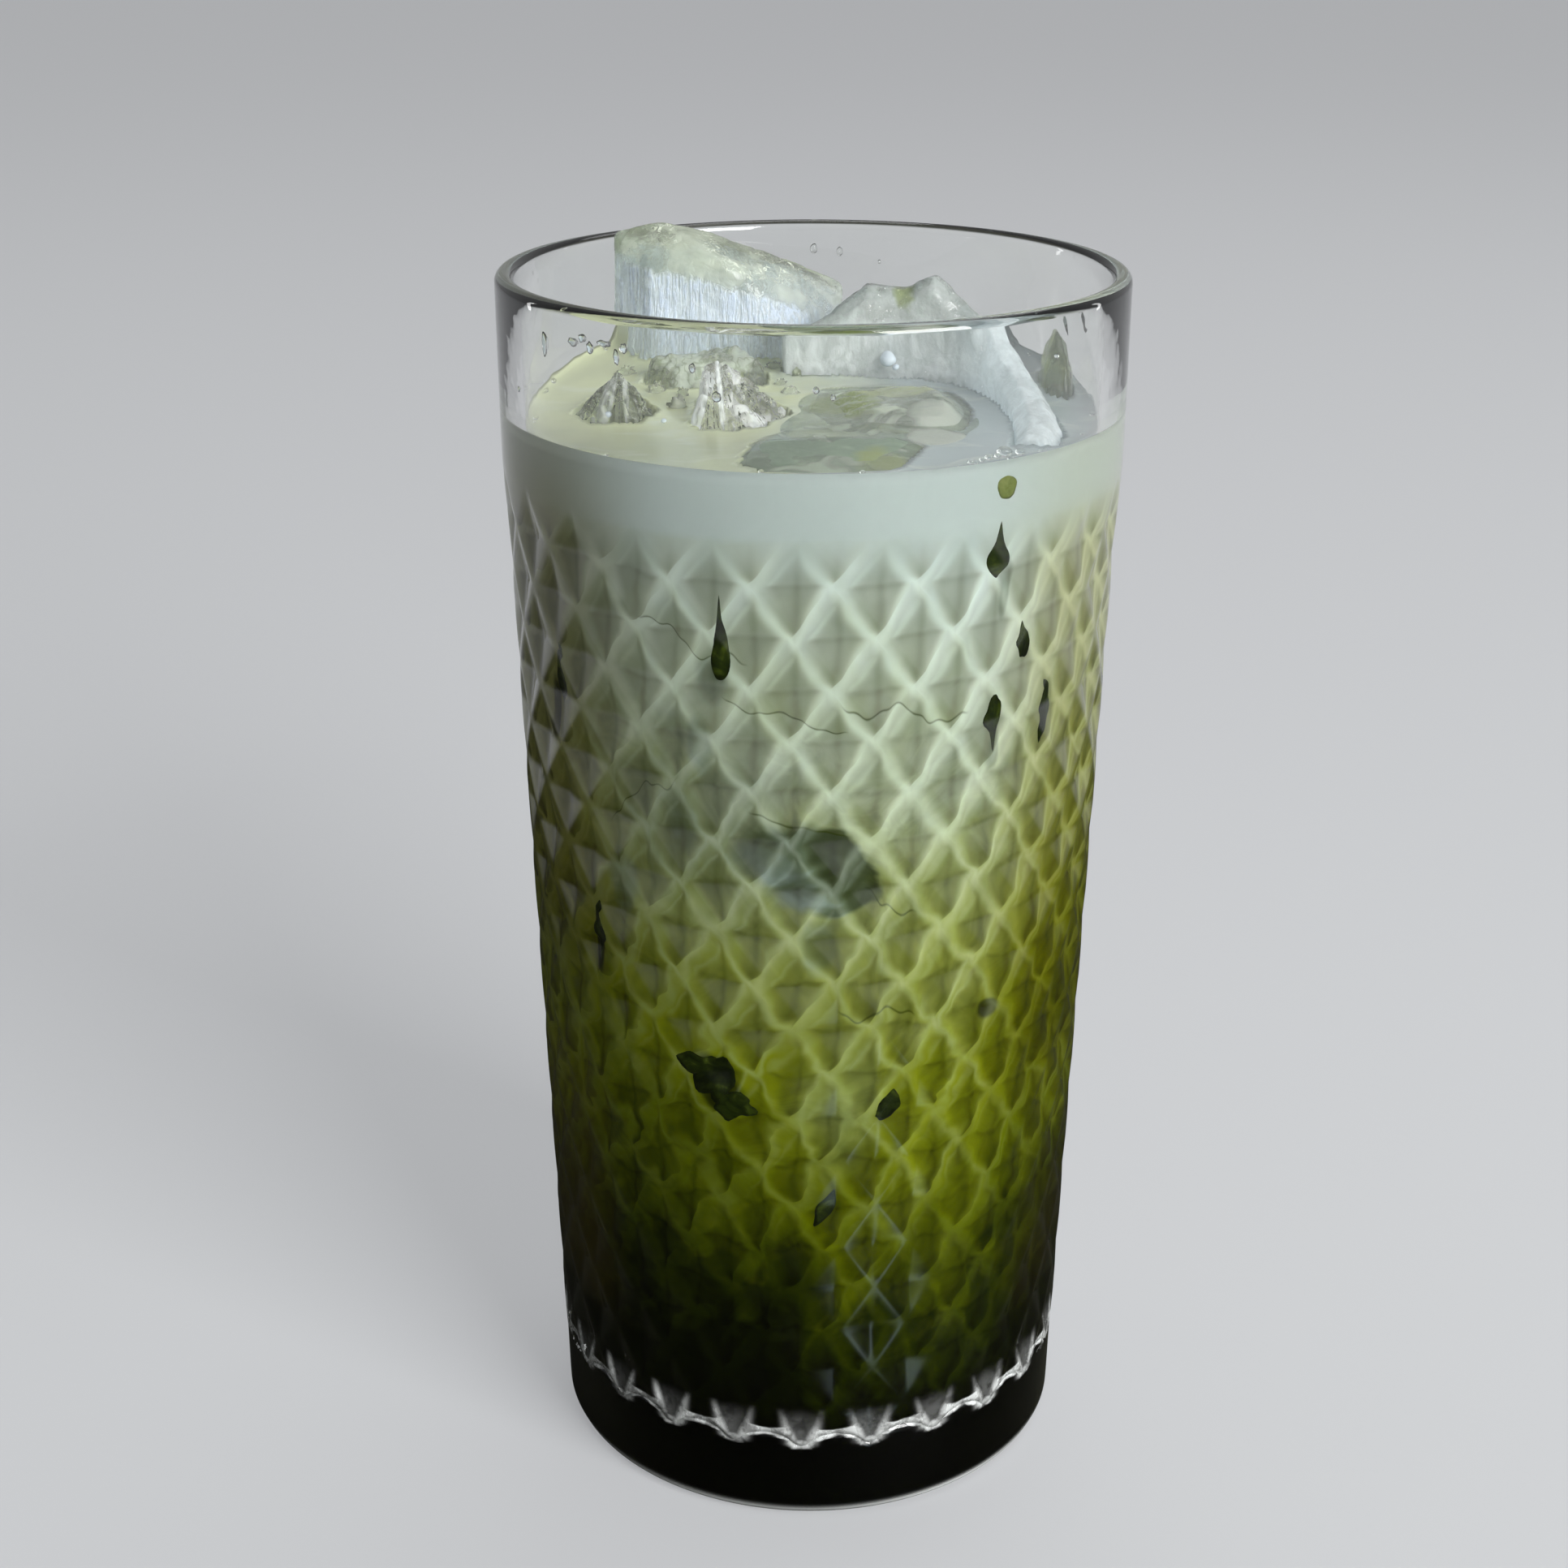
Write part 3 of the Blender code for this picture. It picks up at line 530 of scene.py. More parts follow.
def ice_material(name, clear, frosted, frost=0.3, green=0.2, seed=0.0, trans=(0.92, 0.40), rough=(0.03, 0.30), olive=(0.60, 0.66, 0.34), grain_bump=0.35, veins=0.0, patches=(), glow=0.0, fan=None):
    """Wet ice: clear parts, cloudy parts and a green tinge, all from soft noise."""
    mat, bsdf, nodes, pos = new_material(name)
    shifted = nodes.vmath("ADD", pos, (seed * 17.3, seed * 9.1, seed * 5.7))
    cloud = nodes.noise(shifted, 0.17, 2.0, 0.5, 0.6)
    mask = nodes.mapr(cloud, 0.68 - 0.42 * frost, 0.86 - 0.42 * frost)
    greens = nodes.noise(shifted, 0.11, 2.0, 0.5, 0.5)
    green_mask = nodes.mapr(greens, 0.66 - 0.4 * green, 0.82 - 0.4 * green)
    col = nodes.mix(mask, clear, frosted)
    col = nodes.mix(nodes.math("MULTIPLY", green_mask, 0.8), col, olive)
    if patches:
        sep = nodes.add("ShaderNodeSeparateXYZ")
        nodes.link(pos, sep.inputs[0])
        ragged = nodes.math("MULTIPLY", nodes.math("SUBTRACT", nodes.noise(pos, 0.22, 3.0, 0.5, 0.6), 0.5), 1.6)
        for px, py, rx, ry, tone, share in patches:
            dx = nodes.math("DIVIDE", nodes.math("SUBTRACT", sep.outputs[0], px), rx)
            dy = nodes.math("DIVIDE", nodes.math("SUBTRACT", sep.outputs[1], py), ry)
            d = nodes.math("ADD", nodes.math("ADD", nodes.math("MULTIPLY", dx, dx), nodes.math("MULTIPLY", dy, dy)), ragged)
            here = nodes.mapr(d, 1.1, 0.4, 0.0, share)
            col = nodes.mix(here, col, tone)
            mask = nodes.math("MAXIMUM", mask, nodes.math("MULTIPLY", here, 0.95))
    # threads of fine bubbles
    strand = nodes.noise(nodes.vmath("MULTIPLY", shifted, (1.6, 1.6, 0.5)), 0.55, 3.0, 0.6, 0.5)
    strand = nodes.mapr(nodes.math("ABSOLUTE", nodes.math("SUBTRACT", strand, 0.5)), 0.03, 0.0, 0.0, 0.55)
    col = nodes.mix(nodes.math("MULTIPLY", strand, 0.6), col, frosted)
    mask = nodes.math("MAXIMUM", mask, nodes.math("MULTIPLY", strand, 0.6))
    if fan:
        # cracks and white streaks that run out from the tip
        fsep = nodes.add("ShaderNodeSeparateXYZ")
        nodes.link(pos, fsep.inputs[0])
        drop = nodes.math("ADD", nodes.math("SUBTRACT", fan[1], fsep.outputs[2]), 1.6)
        run = nodes.math("DIVIDE", nodes.math("SUBTRACT", fsep.outputs[0], fan[0]), drop)
        comb = nodes.add("ShaderNodeCombineXYZ")
        nodes.link(nodes.math("MULTIPLY", run, fan[2]), comb.inputs[0])
        nodes.link(nodes.math("MULTIPLY", fsep.outputs[2], 0.10), comb.inputs[1])
        rays = nodes.noise(comb.outputs[0], 1.0, 3.0, 0.6)
        white = nodes.mapr(rays, 0.52, 0.62, 0.0, fan[3])
        col = nodes.mix(white, col, (0.95, 1.0, 1.0))
        mask = nodes.math("MAXIMUM", mask, white)
        dots = nodes.mapr(nodes.noise(pos, 2.4, 2.0, 0.6), 0.46, 0.54)
        crack = nodes.math("MULTIPLY", nodes.mapr(nodes.math("ABSOLUTE", nodes.math("SUBTRACT", rays, 0.47)), 0.016, 0.006), dots)
        col = nodes.mix(crack, col, (0.07, 0.09, 0.05))
        mask = nodes.math("MAXIMUM", mask, nodes.math("MULTIPLY", crack, 0.8))
    if veins > 0.0:
        vein = nodes.noise(nodes.vmath("MULTIPLY", shifted, (1.0, 1.0, 0.35)), 0.65, 2.0, 0.5, 0.4)
        vein = nodes.mapr(nodes.math("ABSOLUTE", nodes.math("SUBTRACT", vein, 0.5)), 0.05, 0.015, 0.0, veins)
        col = nodes.mix(vein, col, (0.20, 0.25, 0.12))
    nodes.link(col, bsdf.inputs["Base Color"])
    # painted light: a faint glow, stronger in the cloudy parts
    if glow:
        nodes.link(nodes.mix(nodes.mapr(mask, 0.0, 1.0, 0.4, 1.0, smooth=False), (0.0, 0.0, 0.0), col), bsdf.inputs["Emission Color"])
        bsdf.inputs["Emission Strength"].default_value = glow
    nodes.link(nodes.mapr(mask, 0.0, 1.0, *trans, smooth=False), bsdf.inputs["Transmission Weight"])
    nodes.link(nodes.mapr(mask, 0.0, 1.0, *rough, smooth=False), bsdf.inputs["Roughness"])
    bsdf.inputs["IOR"].default_value = 1.31
    height = nodes.math("ADD", nodes.noise(shifted, 0.35, 2.0), nodes.math("MULTIPLY", nodes.noise(shifted, 1.6, 2.0), 0.35))
    bump(nodes, height, grain_bump, 0.35, bsdf)
    return mat


def chunk_material():
    """The tall piece at the back: a frosted, striated front below, a wet green crown above, a clear left end; painted
    glints, a painted whiter haze below the rim and a painted glow on the lower front and the left end stand in for
    light.
    """
    mat, bsdf, nodes, pos = new_material("ice_striated_chunk")
    coord = nodes.add("ShaderNodeTexCoord")
    nsep = nodes.add("ShaderNodeSeparateXYZ")
    nodes.link(coord.outputs["Normal"], nsep.inputs[0])
    sep = nodes.add("ShaderNodeSeparateXYZ")
    nodes.link(pos, sep.inputs[0])
    x, y, z = sep.outputs
    ragged = nodes.math("MULTIPLY", nodes.math("SUBTRACT", nodes.noise(pos, 0.7, 3.0, 0.6), 0.5), 2.4)
    front = nodes.mapr(nodes.math("MULTIPLY", nsep.outputs[1], -1.0), 0.45, 0.75)
    top = nodes.math("SUBTRACT", 147.2, nodes.math("MULTIPLY", nodes.math("ADD", x, 19.5), 0.24))
    below = nodes.mapr(nodes.math("SUBTRACT", nodes.math("ADD", z, ragged), top), 0.5, -0.6)
    comb = nodes.add("ShaderNodeCombineXYZ")
    nodes.link(nodes.math("MULTIPLY", x, 2.1), comb.inputs[0])
    nodes.link(nodes.math("MULTIPLY", y, 2.1), comb.inputs[1])
    nodes.link(nodes.math("MULTIPLY", z, 0.13), comb.inputs[2])
    striae = nodes.mapr(nodes.noise(comb.outputs[0], 1.0, 3.0, 0.6), 0.32, 0.66, 0.0, 1.0)
    speck = nodes.mapr(nodes.noise(pos, 1.5, 2.0, 0.6), 0.35, 0.65, 0.0, 1.0)
    frost = nodes.math("MULTIPLY", front, below)
    frost = nodes.math("MULTIPLY", frost, nodes.math("ADD", nodes.math("MULTIPLY", striae, 0.45), nodes.math("ADD", nodes.math("MULTIPLY", speck, 0.12), 0.46)))
    clear = nodes.mix(nodes.mapr(z, 140.0, 150.0), (0.88, 0.93, 0.91), (0.78, 0.85, 0.70))
    # pale squiggles: painted glints
    worm = nodes.noise(pos, 0.75, 2.0, 0.5, 1.0)
    worm = nodes.mapr(nodes.math("ABSOLUTE", nodes.math("SUBTRACT", worm, 0.5)), 0.022, 0.004, 0.0, 1.0)
    worm = nodes.math("MULTIPLY", worm, nodes.mapr(nodes.noise(pos, 0.25, 1.0), 0.45, 0.60))
    cloud = nodes.mapr(nodes.noise(pos, 0.16, 3.0, 0.5, 0.5), 0.42, 0.70, 0.08, 0.50)
    haze = nodes.math("MAXIMUM", nodes.math("MULTIPLY", cloud, nodes.math("SUBTRACT", 1.0, frost)), nodes.math("MULTIPLY", worm, 0.8))
    milky = nodes.mix(worm, (0.45, 0.51, 0.39), (0.82, 0.86, 0.72))
    # painted light: the hazy ice below the rim is drawn whiter
    milky = nodes.mix(nodes.mapr(z, 143.0, 138.0), milky, (0.80, 0.86, 0.86))
    col = nodes.mix(haze, clear, milky)
    col = nodes.mix(frost, col, (0.49, 0.57, 0.67))
    nodes.link(col, bsdf.inputs["Base Color"])
    solid = nodes.math("MAXIMUM", frost, haze)
    # painted light: a faint glow on the frosted front below the rim and on the left end
    lift = nodes.math("MULTIPLY", frost, nodes.mapr(z, 144.0, 140.0, 0.0, 0.72))
    end = nodes.math("MULTIPLY", nodes.mapr(x, -18.5, -22.0), nodes.mapr(z, 149.5, 146.0))
    lift = nodes.math("MAXIMUM", lift, nodes.math("MULTIPLY", end, 0.42))
    nodes.link(nodes.mix(lift, (0.0, 0.0, 0.0), (0.86, 0.96, 1.0)), bsdf.inputs["Emission Color"])
    bsdf.inputs["Emission Strength"].default_value = 0.16
    nodes.link(nodes.mapr(solid, 0.0, 1.0, 0.90, 0.12, smooth=False), bsdf.inputs["Transmission Weight"])
    nodes.link(nodes.mapr(solid, 0.0, 1.0, 0.05, 0.32, smooth=False), bsdf.inputs["Roughness"])
    bsdf.inputs["IOR"].default_value = 1.31
    height = nodes.math("ADD", nodes.math("MULTIPLY", striae, frost), nodes.math("MULTIPLY", nodes.noise(pos, 0.8, 2.0, 0.5, 0.8), 0.8))
    bump(nodes, height, 0.5, 0.28, bsdf)
    return mat


def shell_material():
    """The curved plate: hazy, faintly striated across its width, with painted glints for wet sparkles along its edge;
    its low part and its leg are painted more solid, whiter and glowing, standing in for light.
    """
    mat, bsdf, nodes, pos = new_material("ice_hazy_plate")
    sep = nodes.add("ShaderNodeSeparateXYZ")
    nodes.link(pos, sep.inputs[0])
    x, y, z = sep.outputs
    comb = nodes.add("ShaderNodeCombineXYZ")
    nodes.link(nodes.math("MULTIPLY", x, 1.3), comb.inputs[0])
    nodes.link(nodes.math("MULTIPLY", y, 1.3), comb.inputs[1])
    nodes.link(nodes.math("MULTIPLY", z, 0.3), comb.inputs[2])
    striae = nodes.mapr(nodes.noise(comb.outputs[0], 1.0, 3.0, 0.6), 0.34, 0.66, 0.0, 1.0)
    cloud = nodes.mapr(nodes.noise(pos, 0.14, 3.0, 0.5, 0.5), 0.36, 0.64, 0.30, 0.85)
    solid = nodes.math("MULTIPLY", cloud, nodes.math("ADD", nodes.math("MULTIPLY", striae, 0.25), 0.75))
    # painted light: below the rim the plate is drawn more solid
    low = nodes.mapr(z, 143.0, 138.5)
    solid = nodes.math("ADD", solid, nodes.math("MULTIPLY", nodes.math("SUBTRACT", 0.92, solid), nodes.math("MULTIPLY", low, 0.6)))
    patchy = nodes.mapr(nodes.noise(pos, 0.42, 3.0, 0.6, 0.8), 0.38, 0.64, 0.62, 1.0)
    # painted light: the leg at the right end is drawn more solid
    leg = nodes.mapr(x, 16.0, 22.0)
    patchy = nodes.math("ADD", patchy, nodes.math("MULTIPLY", nodes.math("SUBTRACT", 1.0, patchy), nodes.math("MULTIPLY", leg, 0.55)))
    solid = nodes.math("MULTIPLY", solid, patchy)
    # painted light: the low part is whiter and glows, most on the leg
    white = nodes.mix(nodes.mapr(z, 138.0, 145.5), (0.86, 0.91, 0.91), (0.33, 0.39, 0.37))
    lit = nodes.math("MULTIPLY", nodes.math("MULTIPLY", low, solid), nodes.math("ADD", nodes.math("MULTIPLY", leg, 0.85), 0.15))
    nodes.link(nodes.mix(lit, (0.0, 0.0, 0.0), (0.80, 0.93, 1.0)), bsdf.inputs["Emission Color"])
    bsdf.inputs["Emission Strength"].default_value = 0.29
    # painted glints: small white spots in patches
    painted_glint = nodes.mapr(nodes.noise(pos, 1.7, 2.0, 0.7), 0.64, 0.70, 0.0, 1.0)
    painted_glint = nodes.math("MULTIPLY", painted_glint, nodes.mapr(nodes.noise(pos, 0.20, 1.0), 0.46, 0.56))
    white = nodes.mix(painted_glint, white, (1.0, 1.0, 1.0))
    solid = nodes.math("MAXIMUM", solid, nodes.math("MULTIPLY", painted_glint, 0.9))
    notch_x = nodes.math("DIVIDE", nodes.math("SUBTRACT", x, 10.9), 1.5)
    notch_z = nodes.math("DIVIDE", nodes.math("SUBTRACT", z, 146.2), 3.2)
    notch = nodes.math("ADD", nodes.math("MULTIPLY", notch_x, notch_x), nodes.math("MULTIPLY", notch_z, notch_z))
    notch = nodes.mapr(nodes.math("ADD", notch, nodes.math("MULTIPLY", nodes.math("SUBTRACT", nodes.noise(pos, 0.9, 2.0), 0.5), 1.2)), 1.0, 0.2, 0.0, 0.85)
    col = nodes.mix(solid, (0.84, 0.88, 0.84), white)
    col = nodes.mix(notch, col, (0.36, 0.42, 0.20))
    nodes.link(col, bsdf.inputs["Base Color"])
    nodes.link(nodes.mapr(solid, 0.0, 1.0, 0.92, 0.20, smooth=False), bsdf.inputs["Transmission Weight"])
    nodes.link(nodes.mapr(solid, 0.0, 1.0, 0.04, 0.26, smooth=False), bsdf.inputs["Roughness"])
    bsdf.inputs["IOR"].default_value = 1.31
    height = nodes.math("ADD", nodes.noise(pos, 0.5, 3.0, 0.55), nodes.math("MULTIPLY", nodes.noise(pos, 2.2, 2.0, 0.6), 0.45))
    bump(nodes, height, 0.55, 0.3, bsdf)
    return mat


def water_material():
    mat, bsdf, nodes, pos = new_material("clear_drop")
    bsdf.inputs["Base Color"].default_value = (0.97, 0.98, 0.97, 1.0)
    bsdf.inputs["Transmission Weight"].default_value = 1.0
    bsdf.inputs["IOR"].default_value = 1.33
    nodes.link(nodes.mapr(nodes.noise(pos, 0.8), 0.4, 0.7, 0.0, 0.03), bsdf.inputs["Roughness"])
    return mat


def pearl_material():
    mat, bsdf, nodes, pos = new_material("milky_bubble")
    n = nodes.noise(pos, 0.7, 2.0, 0.5, 0.5)
    tone = nodes.ramp(n, [(0.3, lin(204, 218, 228)), (0.7, lin(232, 242, 250))])
    nodes.link(tone, bsdf.inputs["Base Color"])
    # painted light: the bubbles glow faintly
    nodes.link(tone, bsdf.inputs["Emission Color"])
    bsdf.inputs["Emission Strength"].default_value = 0.05
    bsdf.inputs["Roughness"].default_value = 0.08
    bsdf.inputs["Transmission Weight"].default_value = 0.15
    bsdf.inputs["IOR"].default_value = 1.33
    return mat


def spot_material():
    mat, bsdf, nodes, pos = new_material("tea_window")
    sep = nodes.add("ShaderNodeSeparateXYZ")
    nodes.link(pos, sep.inputs[0])
    n = nodes.noise(pos, 0.45, 3.0, 0.55, 0.6)
    dark = nodes.ramp(n, [(0.34, lin(22, 30, 4)), (0.56, lin(44, 56, 10)), (0.74, lin(84, 98, 26))])
    olive = nodes.ramp(n, [(0.34, lin(104, 116, 34)), (0.66, lin(148, 158, 84))])
    high = nodes.mapr(sep.outputs[2], 128.0, 129.0)
    col = nodes.mix(high, dark, olive)
    bluish = nodes.mapr(n, 0.68, 0.78, 0.0, 0.15)
    col = nodes.mix(bluish, col, lin(96, 114, 110))
    nodes.link(col, bsdf.inputs["Base Color"])
    bsdf.inputs["Roughness"].default_value = 0.3
    bsdf.inputs["Specular IOR Level"].default_value = 0.05
    return mat


GLASS = glass_material()
LEDGE = ledge_glass_material()
DRINK = drink_material()
SURFACE = surface_material()

# ---- the tumbler ------------------------------------------------------------


def make_tumbler():
    n = 8
    cols = COLS * n
    c = np.arange(cols) / n
    phi = np.radians(PHASE + 360.0 * c / COLS)
    # a ring's flag picks the ledge material, whose whitish edge and foot line are partly painted highlights
    rings = []                                  # (radius array, z array, ground flag)

    def ring(radius, z, ledge_slot=False):
        rings.append((np.full(cols, 0.0) + radius, np.full(cols, 0.0) + z, ledge_slot))

    for radius, z in ((6.0, 0.45), (16.0, 0.45), (24.0, 0.42), (28.5, 0.30), (30.0, 0.05), (30.6, 0.0), (31.3, 0.0)):
        ring(radius, z)
    for radius, z in ((31.9, 0.14), (32.3, 0.5), (R_FOOT, 1.1), (R_FOOT + 0.02, 1.6)):
        ring(radius, z, True)
    for z in (3.0, 5.0, 7.0, 8.6):
        ring(R_FOOT + 0.02 * z, z)
    # the relief ends on a ledge, which dips where a cup's lower tip cuts into the foot
    tri = np.abs(c - 2 * np.round(c / 2))       # 0 on even columns, 1 on odd ones
    ledge = 12.3 - 1.6 * np.exp(-(tri / 0.34) ** 2)
    low_r = ridge_r(ledge) - DEPTH * cup(c, (ledge - ROW0_Z) / ROW_H)
    ring(R_FOOT + 0.17, ledge - 1.1, True)
    ring(R_FOOT + 0.15, ledge - 0.55, True)
    ring(R_FOOT - 0.05, ledge - 0.25, True)
    ring(np.minimum(low_r, R_FOOT - 0.25), ledge - 0.10, True)
    first_relief = len(rings)
    rows = n * (ROW_LAST - ROW_FIRST)
    for j in range(rows + 1):
        k = ROW_FIRST + j / n
        z = ROW0_Z + ROW_H * k
        t = float(smooth01(np.array((k + 2.0) / 2.0)))
        z = ledge * (1 - t) + z * t if k < 0 else np.full(cols, z)
        if k < 0:
            z = ledge + (ROW0_Z - ledge) * ((k + 2.0) / 2.0)
        kk = (z - ROW0_Z) / ROW_H
        m = cup(c, kk)
        # the topmost cups run out into the band
        inside = np.where((kk > ROW_LAST - 1), (np.abs(((c + 1) % 2) - 1) + (kk - (ROW_LAST - 1)) < 1.0), True)
        m = np.where(inside, m, 0.0)
        ring(ridge_r(z) - DEPTH * m, z, float(np.max(z)) < 17.0)
    for z in (130.0, 131.5, SHOULDER_HIGH_Z):
        ring(ridge_r(np.array(z)), z)
    ring(R_BAND, 140.0)
    lip_z, lip_mid = HEIGHT - RIM_R, R_BAND - RIM_R
    for deg in range(0, 181, 15):
        a = math.radians(deg)
        ring(lip_mid + RIM_R * math.cos(a), lip_z + RIM_R * math.sin(a))
    for z in (146.5, 143.0, 138.0, 133.0, 120.0, 100.0, 80.0, 60.0, 40.0, 25.0):
        ring(cavity_r(z), z)
    mid = FLOOR_Z + FLOOR_ROUND
    wall = cavity_r(mid)
    for deg in range(0, 91, 15):
        a = math.radians(deg)
        ring(wall - FLOOR_ROUND * (1 - math.cos(a)), mid - FLOOR_ROUND * math.sin(a))
    ring(12.0, FLOOR_Z)

    verts = [(0.0, 0.0, rings[0][1][0])]
    for radius, z, _ in rings:
        verts.extend(zip(radius * np.sin(phi), -radius * np.cos(phi), z))
    verts.append((0.0, 0.0, FLOOR_Z))
    last = len(verts) - 1
    faces, slots = [], []
    for i in range(cols):
        faces.append((0, 1 + (i + 1) % cols, 1 + i))
        slots.append(0)
    for r in range(len(rings) - 1):
        lo, hi = 1 + r * cols, 1 + (r + 1) * cols
        relief = first_relief <= r < first_relief + rows
        ledge_slot = 1 if rings[r][2] or rings[r + 1][2] else 0
        for i in range(cols):
            j = (i + 1) % cols
            if relief:
                row, col = (r - first_relief) // n, i // n
                if (row + ROW_FIRST + col) % 2 == 0:
                    faces.append((lo + i, lo + j, hi + j)); faces.append((lo + i, hi + j, hi + i))
                else:
                    faces.append((lo + i, lo + j, hi + i)); faces.append((lo + j, hi + j, hi + i))
                slots += [ledge_slot, ledge_slot]
            else:
                faces.append((lo + i, lo + j, hi + j, hi + i))
                slots.append(ledge_slot)
    lo = 1 + (len(rings) - 1) * cols
    for i in range(cols):
        faces.append((lo + i, lo + (i + 1) % cols, last))
        slots.append(0)
    return make_object("tumbler", verts, faces, [GLASS, LEDGE], True, slots)


tumbler = make_tumbler()
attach(tumbler, "root")
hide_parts("glass")

# ---- ice that stands out of the drink ---------------------------------------


def detailed_ice(node, voxel, rough, chips, seed, mat, melt=2, flutes=0.0, swell=0.0, squat=1.0, plump=0.0):
    """A melted, chipped piece of ice grown from the frame's faceted one."""
    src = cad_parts[node]
    mesh = src.data.copy()
    mesh.name = node + "_melted"
    obj = bpy.data.objects.new(node + "_melted", mesh)
    bpy.context.scene.collection.objects.link(obj)
    obj.data.materials.clear()
    rem = obj.modifiers.new("remesh", "REMESH")
    rem.mode = "VOXEL"
    rem.voxel_size = voxel * MM
    rem.use_smooth_shade = True
    smo = obj.modifiers.new("smooth", "SMOOTH")
    smo.factor, smo.iterations = 0.5, melt
    dg = bpy.context.evaluated_depsgraph_get()
    done = bpy.data.meshes.new_from_object(obj.evaluated_get(dg))
    obj.modifiers.clear()
    obj.data = done
    bpy.data.meshes.remove(mesh)
    count = len(done.vertices)
    co = np.zeros(count * 3)
    done.vertices.foreach_get("co", co)
    co = co.reshape(-1, 3)
    nor = np.array([v.normal for v in done.vertices])
    off = Vector((seed * 3.1, seed * 7.7, seed * 1.3))
    move = np.zeros(count)
    for i in range(count):
        p = Vector(co[i]) / MM
        near = noise.voronoi(p * 0.30 + off)[0]
        facet = min(near[1] - near[0], 0.45)    # creases between melted facets
        wide = noise.noise(p * 0.16 + off)
        fine = noise.fractal(p * 0.9 + off, 1.0, 2.2, 3)
        move[i] = chips * (facet - 0.3) + 0.35 * chips * wide + rough * fine - 0.04 + swell
        if flutes:
            groove = noise.noise(Vector((p.x * 0.75, p.y * 0.75, p.z * 0.14)) + off)
            notch = noise.noise(Vector((p.x * 0.30, p.y * 0.30, p.z * 0.30)) + off * 2.0)
            move[i] -= flutes * (0.9 - min(abs(groove) * 3.2, 0.9)) + flutes * 0.8 * max(notch, 0.0)
    lo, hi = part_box(node)
    if plump:
        # a rounder lump within the same box
        mid, half = (np.array(lo) + np.array(hi)) / 2, (np.array(hi) - np.array(lo)) / 2
        away = (co - mid) / half
        length = np.maximum(np.linalg.norm(away, axis=1), 1e-6)
        grown = length + (1.04 - length) * plump
        co = mid + away / length[:, None] * grown[:, None] * half
    co = co + nor * (move * MM)[:, None]
    if squat < 1.0:
        above = co[:, 2] > LEVEL_Z * MM
        co[above, 2] = LEVEL_Z * MM + (co[above, 2] - LEVEL_Z * MM) * squat
    co = np.clip(co, np.array(lo), np.array(hi))
    radius = np.hypot(co[:, 0], co[:, 1])
    limit = (cavity_r(co[:, 2] / MM) - 0.15) * MM
    share = np.minimum(1.0, limit / np.maximum(radius, 1e-6))
    co[:, :2] *= share[:, None]
    done.vertices.foreach_set("co", co.ravel())
    done.update()
    done.materials.append(mat)
    done.polygons.foreach_set("use_smooth", [True] * len(done.polygons))
    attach(obj, "root")
    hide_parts(node)
    return obj


V = 0.36
PALE = (0.84, 0.89, 0.85)
ice = [
    detailed_ice("ice_chunk_back", V, 0.05, 0.30, 1.0, chunk_material()),
    detailed_ice("ice_shell_right", V, 0.07, 0.35, 2.0, shell_material()),
    detailed_ice("ice_wedge_front", V, 0.02, 0.10, 3.0, ice_material(
        "ice_grey_wedge", (0.43, 0.58, 0.40), (0.40, 0.53, 0.36), 0.35, 0.20, 3.0, trans=(0.50, 0.20), olive=(0.36, 0.44, 0.22), rough=(0.03, 0.22), grain_bump=0.14,
        patches=((7.0, -28.0, 3.6, 5.0, (0.36, 0.43, 0.13), 0.9),)), melt=10),
    detailed_ice("ice_dome_front", V, 0.02, 0.26, 4.0, ice_material(
        "ice_glassy_dome", (0.88, 0.98, 0.80), (0.82, 0.92, 0.72), 0.36, 0.10, 4.0, trans=(0.80, 0.22), rough=(0.01, 0.12), grain_bump=0.30,
        patches=((3.6, -7.0, 5.0, 6.5, (0.22, 0.29, 0.02), 0.96), (10.0, -3.0, 4.6, 3.4, (0.48, 0.54, 0.20), 0.7), (14.6, -12.0, 4.6, 5.0, (0.84, 0.90, 0.78), 0.75))), melt=10),
    detailed_ice("ice_spike_left", V * 0.75, 0.0, 0.34, 5.0, ice_material(
        "ice_dark_spike", (0.96, 0.99, 0.94), (0.92, 0.96, 0.92), 0.16, 0.14, 5.0, trans=(0.98, 0.45), rough=(0.0, 0.10), olive=(0.64, 0.71, 0.44), grain_bump=0.30, glow=0.03, fan=(-22.0, 138.9, 3.6, 0.55)), melt=3, flutes=0.95),
    detailed_ice("ice_spike_middle", V * 0.75, 0.0, 0.34, 6.0, ice_material(
        "ice_clear_spike", (1.0, 1.0, 1.0), (0.97, 1.0, 1.0), 0.44, 0.0, 6.0, trans=(0.98, 0.35), rough=(0.0, 0.10), grain_bump=0.30, glow=0.10, fan=(-11.3, 139.3, 3.2, 0.90)), melt=3, flutes=0.75),
    detailed_ice("ice_chunk_low", V, 0.05, 0.45, 7.0, ice_material(
        "ice_bubbly_low", (0.88, 0.93, 0.83), (0.64, 0.71, 0.60), 0.62, 0.24, 7.0, trans=(0.90, 0.30), rough=(0.0, 0.12), olive=(0.56, 0.63, 0.36), grain_bump=0.9, veins=0.45, glow=0.02), flutes=0.3, squat=0.66),
    detailed_ice("ice_bit_right", V * 0.75, 0.02, 0.25, 8.0, ice_material(
        "ice_green_bit", (0.92, 0.96, 0.84), (0.70, 0.77, 0.60), 0.40, 0.45, 8.0, trans=(0.96, 0.50), rough=(0.0, 0.16), olive=(0.56, 0.63, 0.30), veins=0.08, glow=0.04), melt=6, plump=0.70),
]

# ---- small things: crumbs of ice, ice just under the level, bubbles, beads, windows of clear tea ----


def join_parts(name, parts, mat, smooth=True):
    """One mesh from (vertices, faces) lists."""
    verts, faces = [], []
    for v, f in parts:
        start = len(verts)
        verts.extend(v)
        faces.extend(tuple(i + start for i in face) for face in f)
    return make_object(name, verts, faces, [mat], smooth)


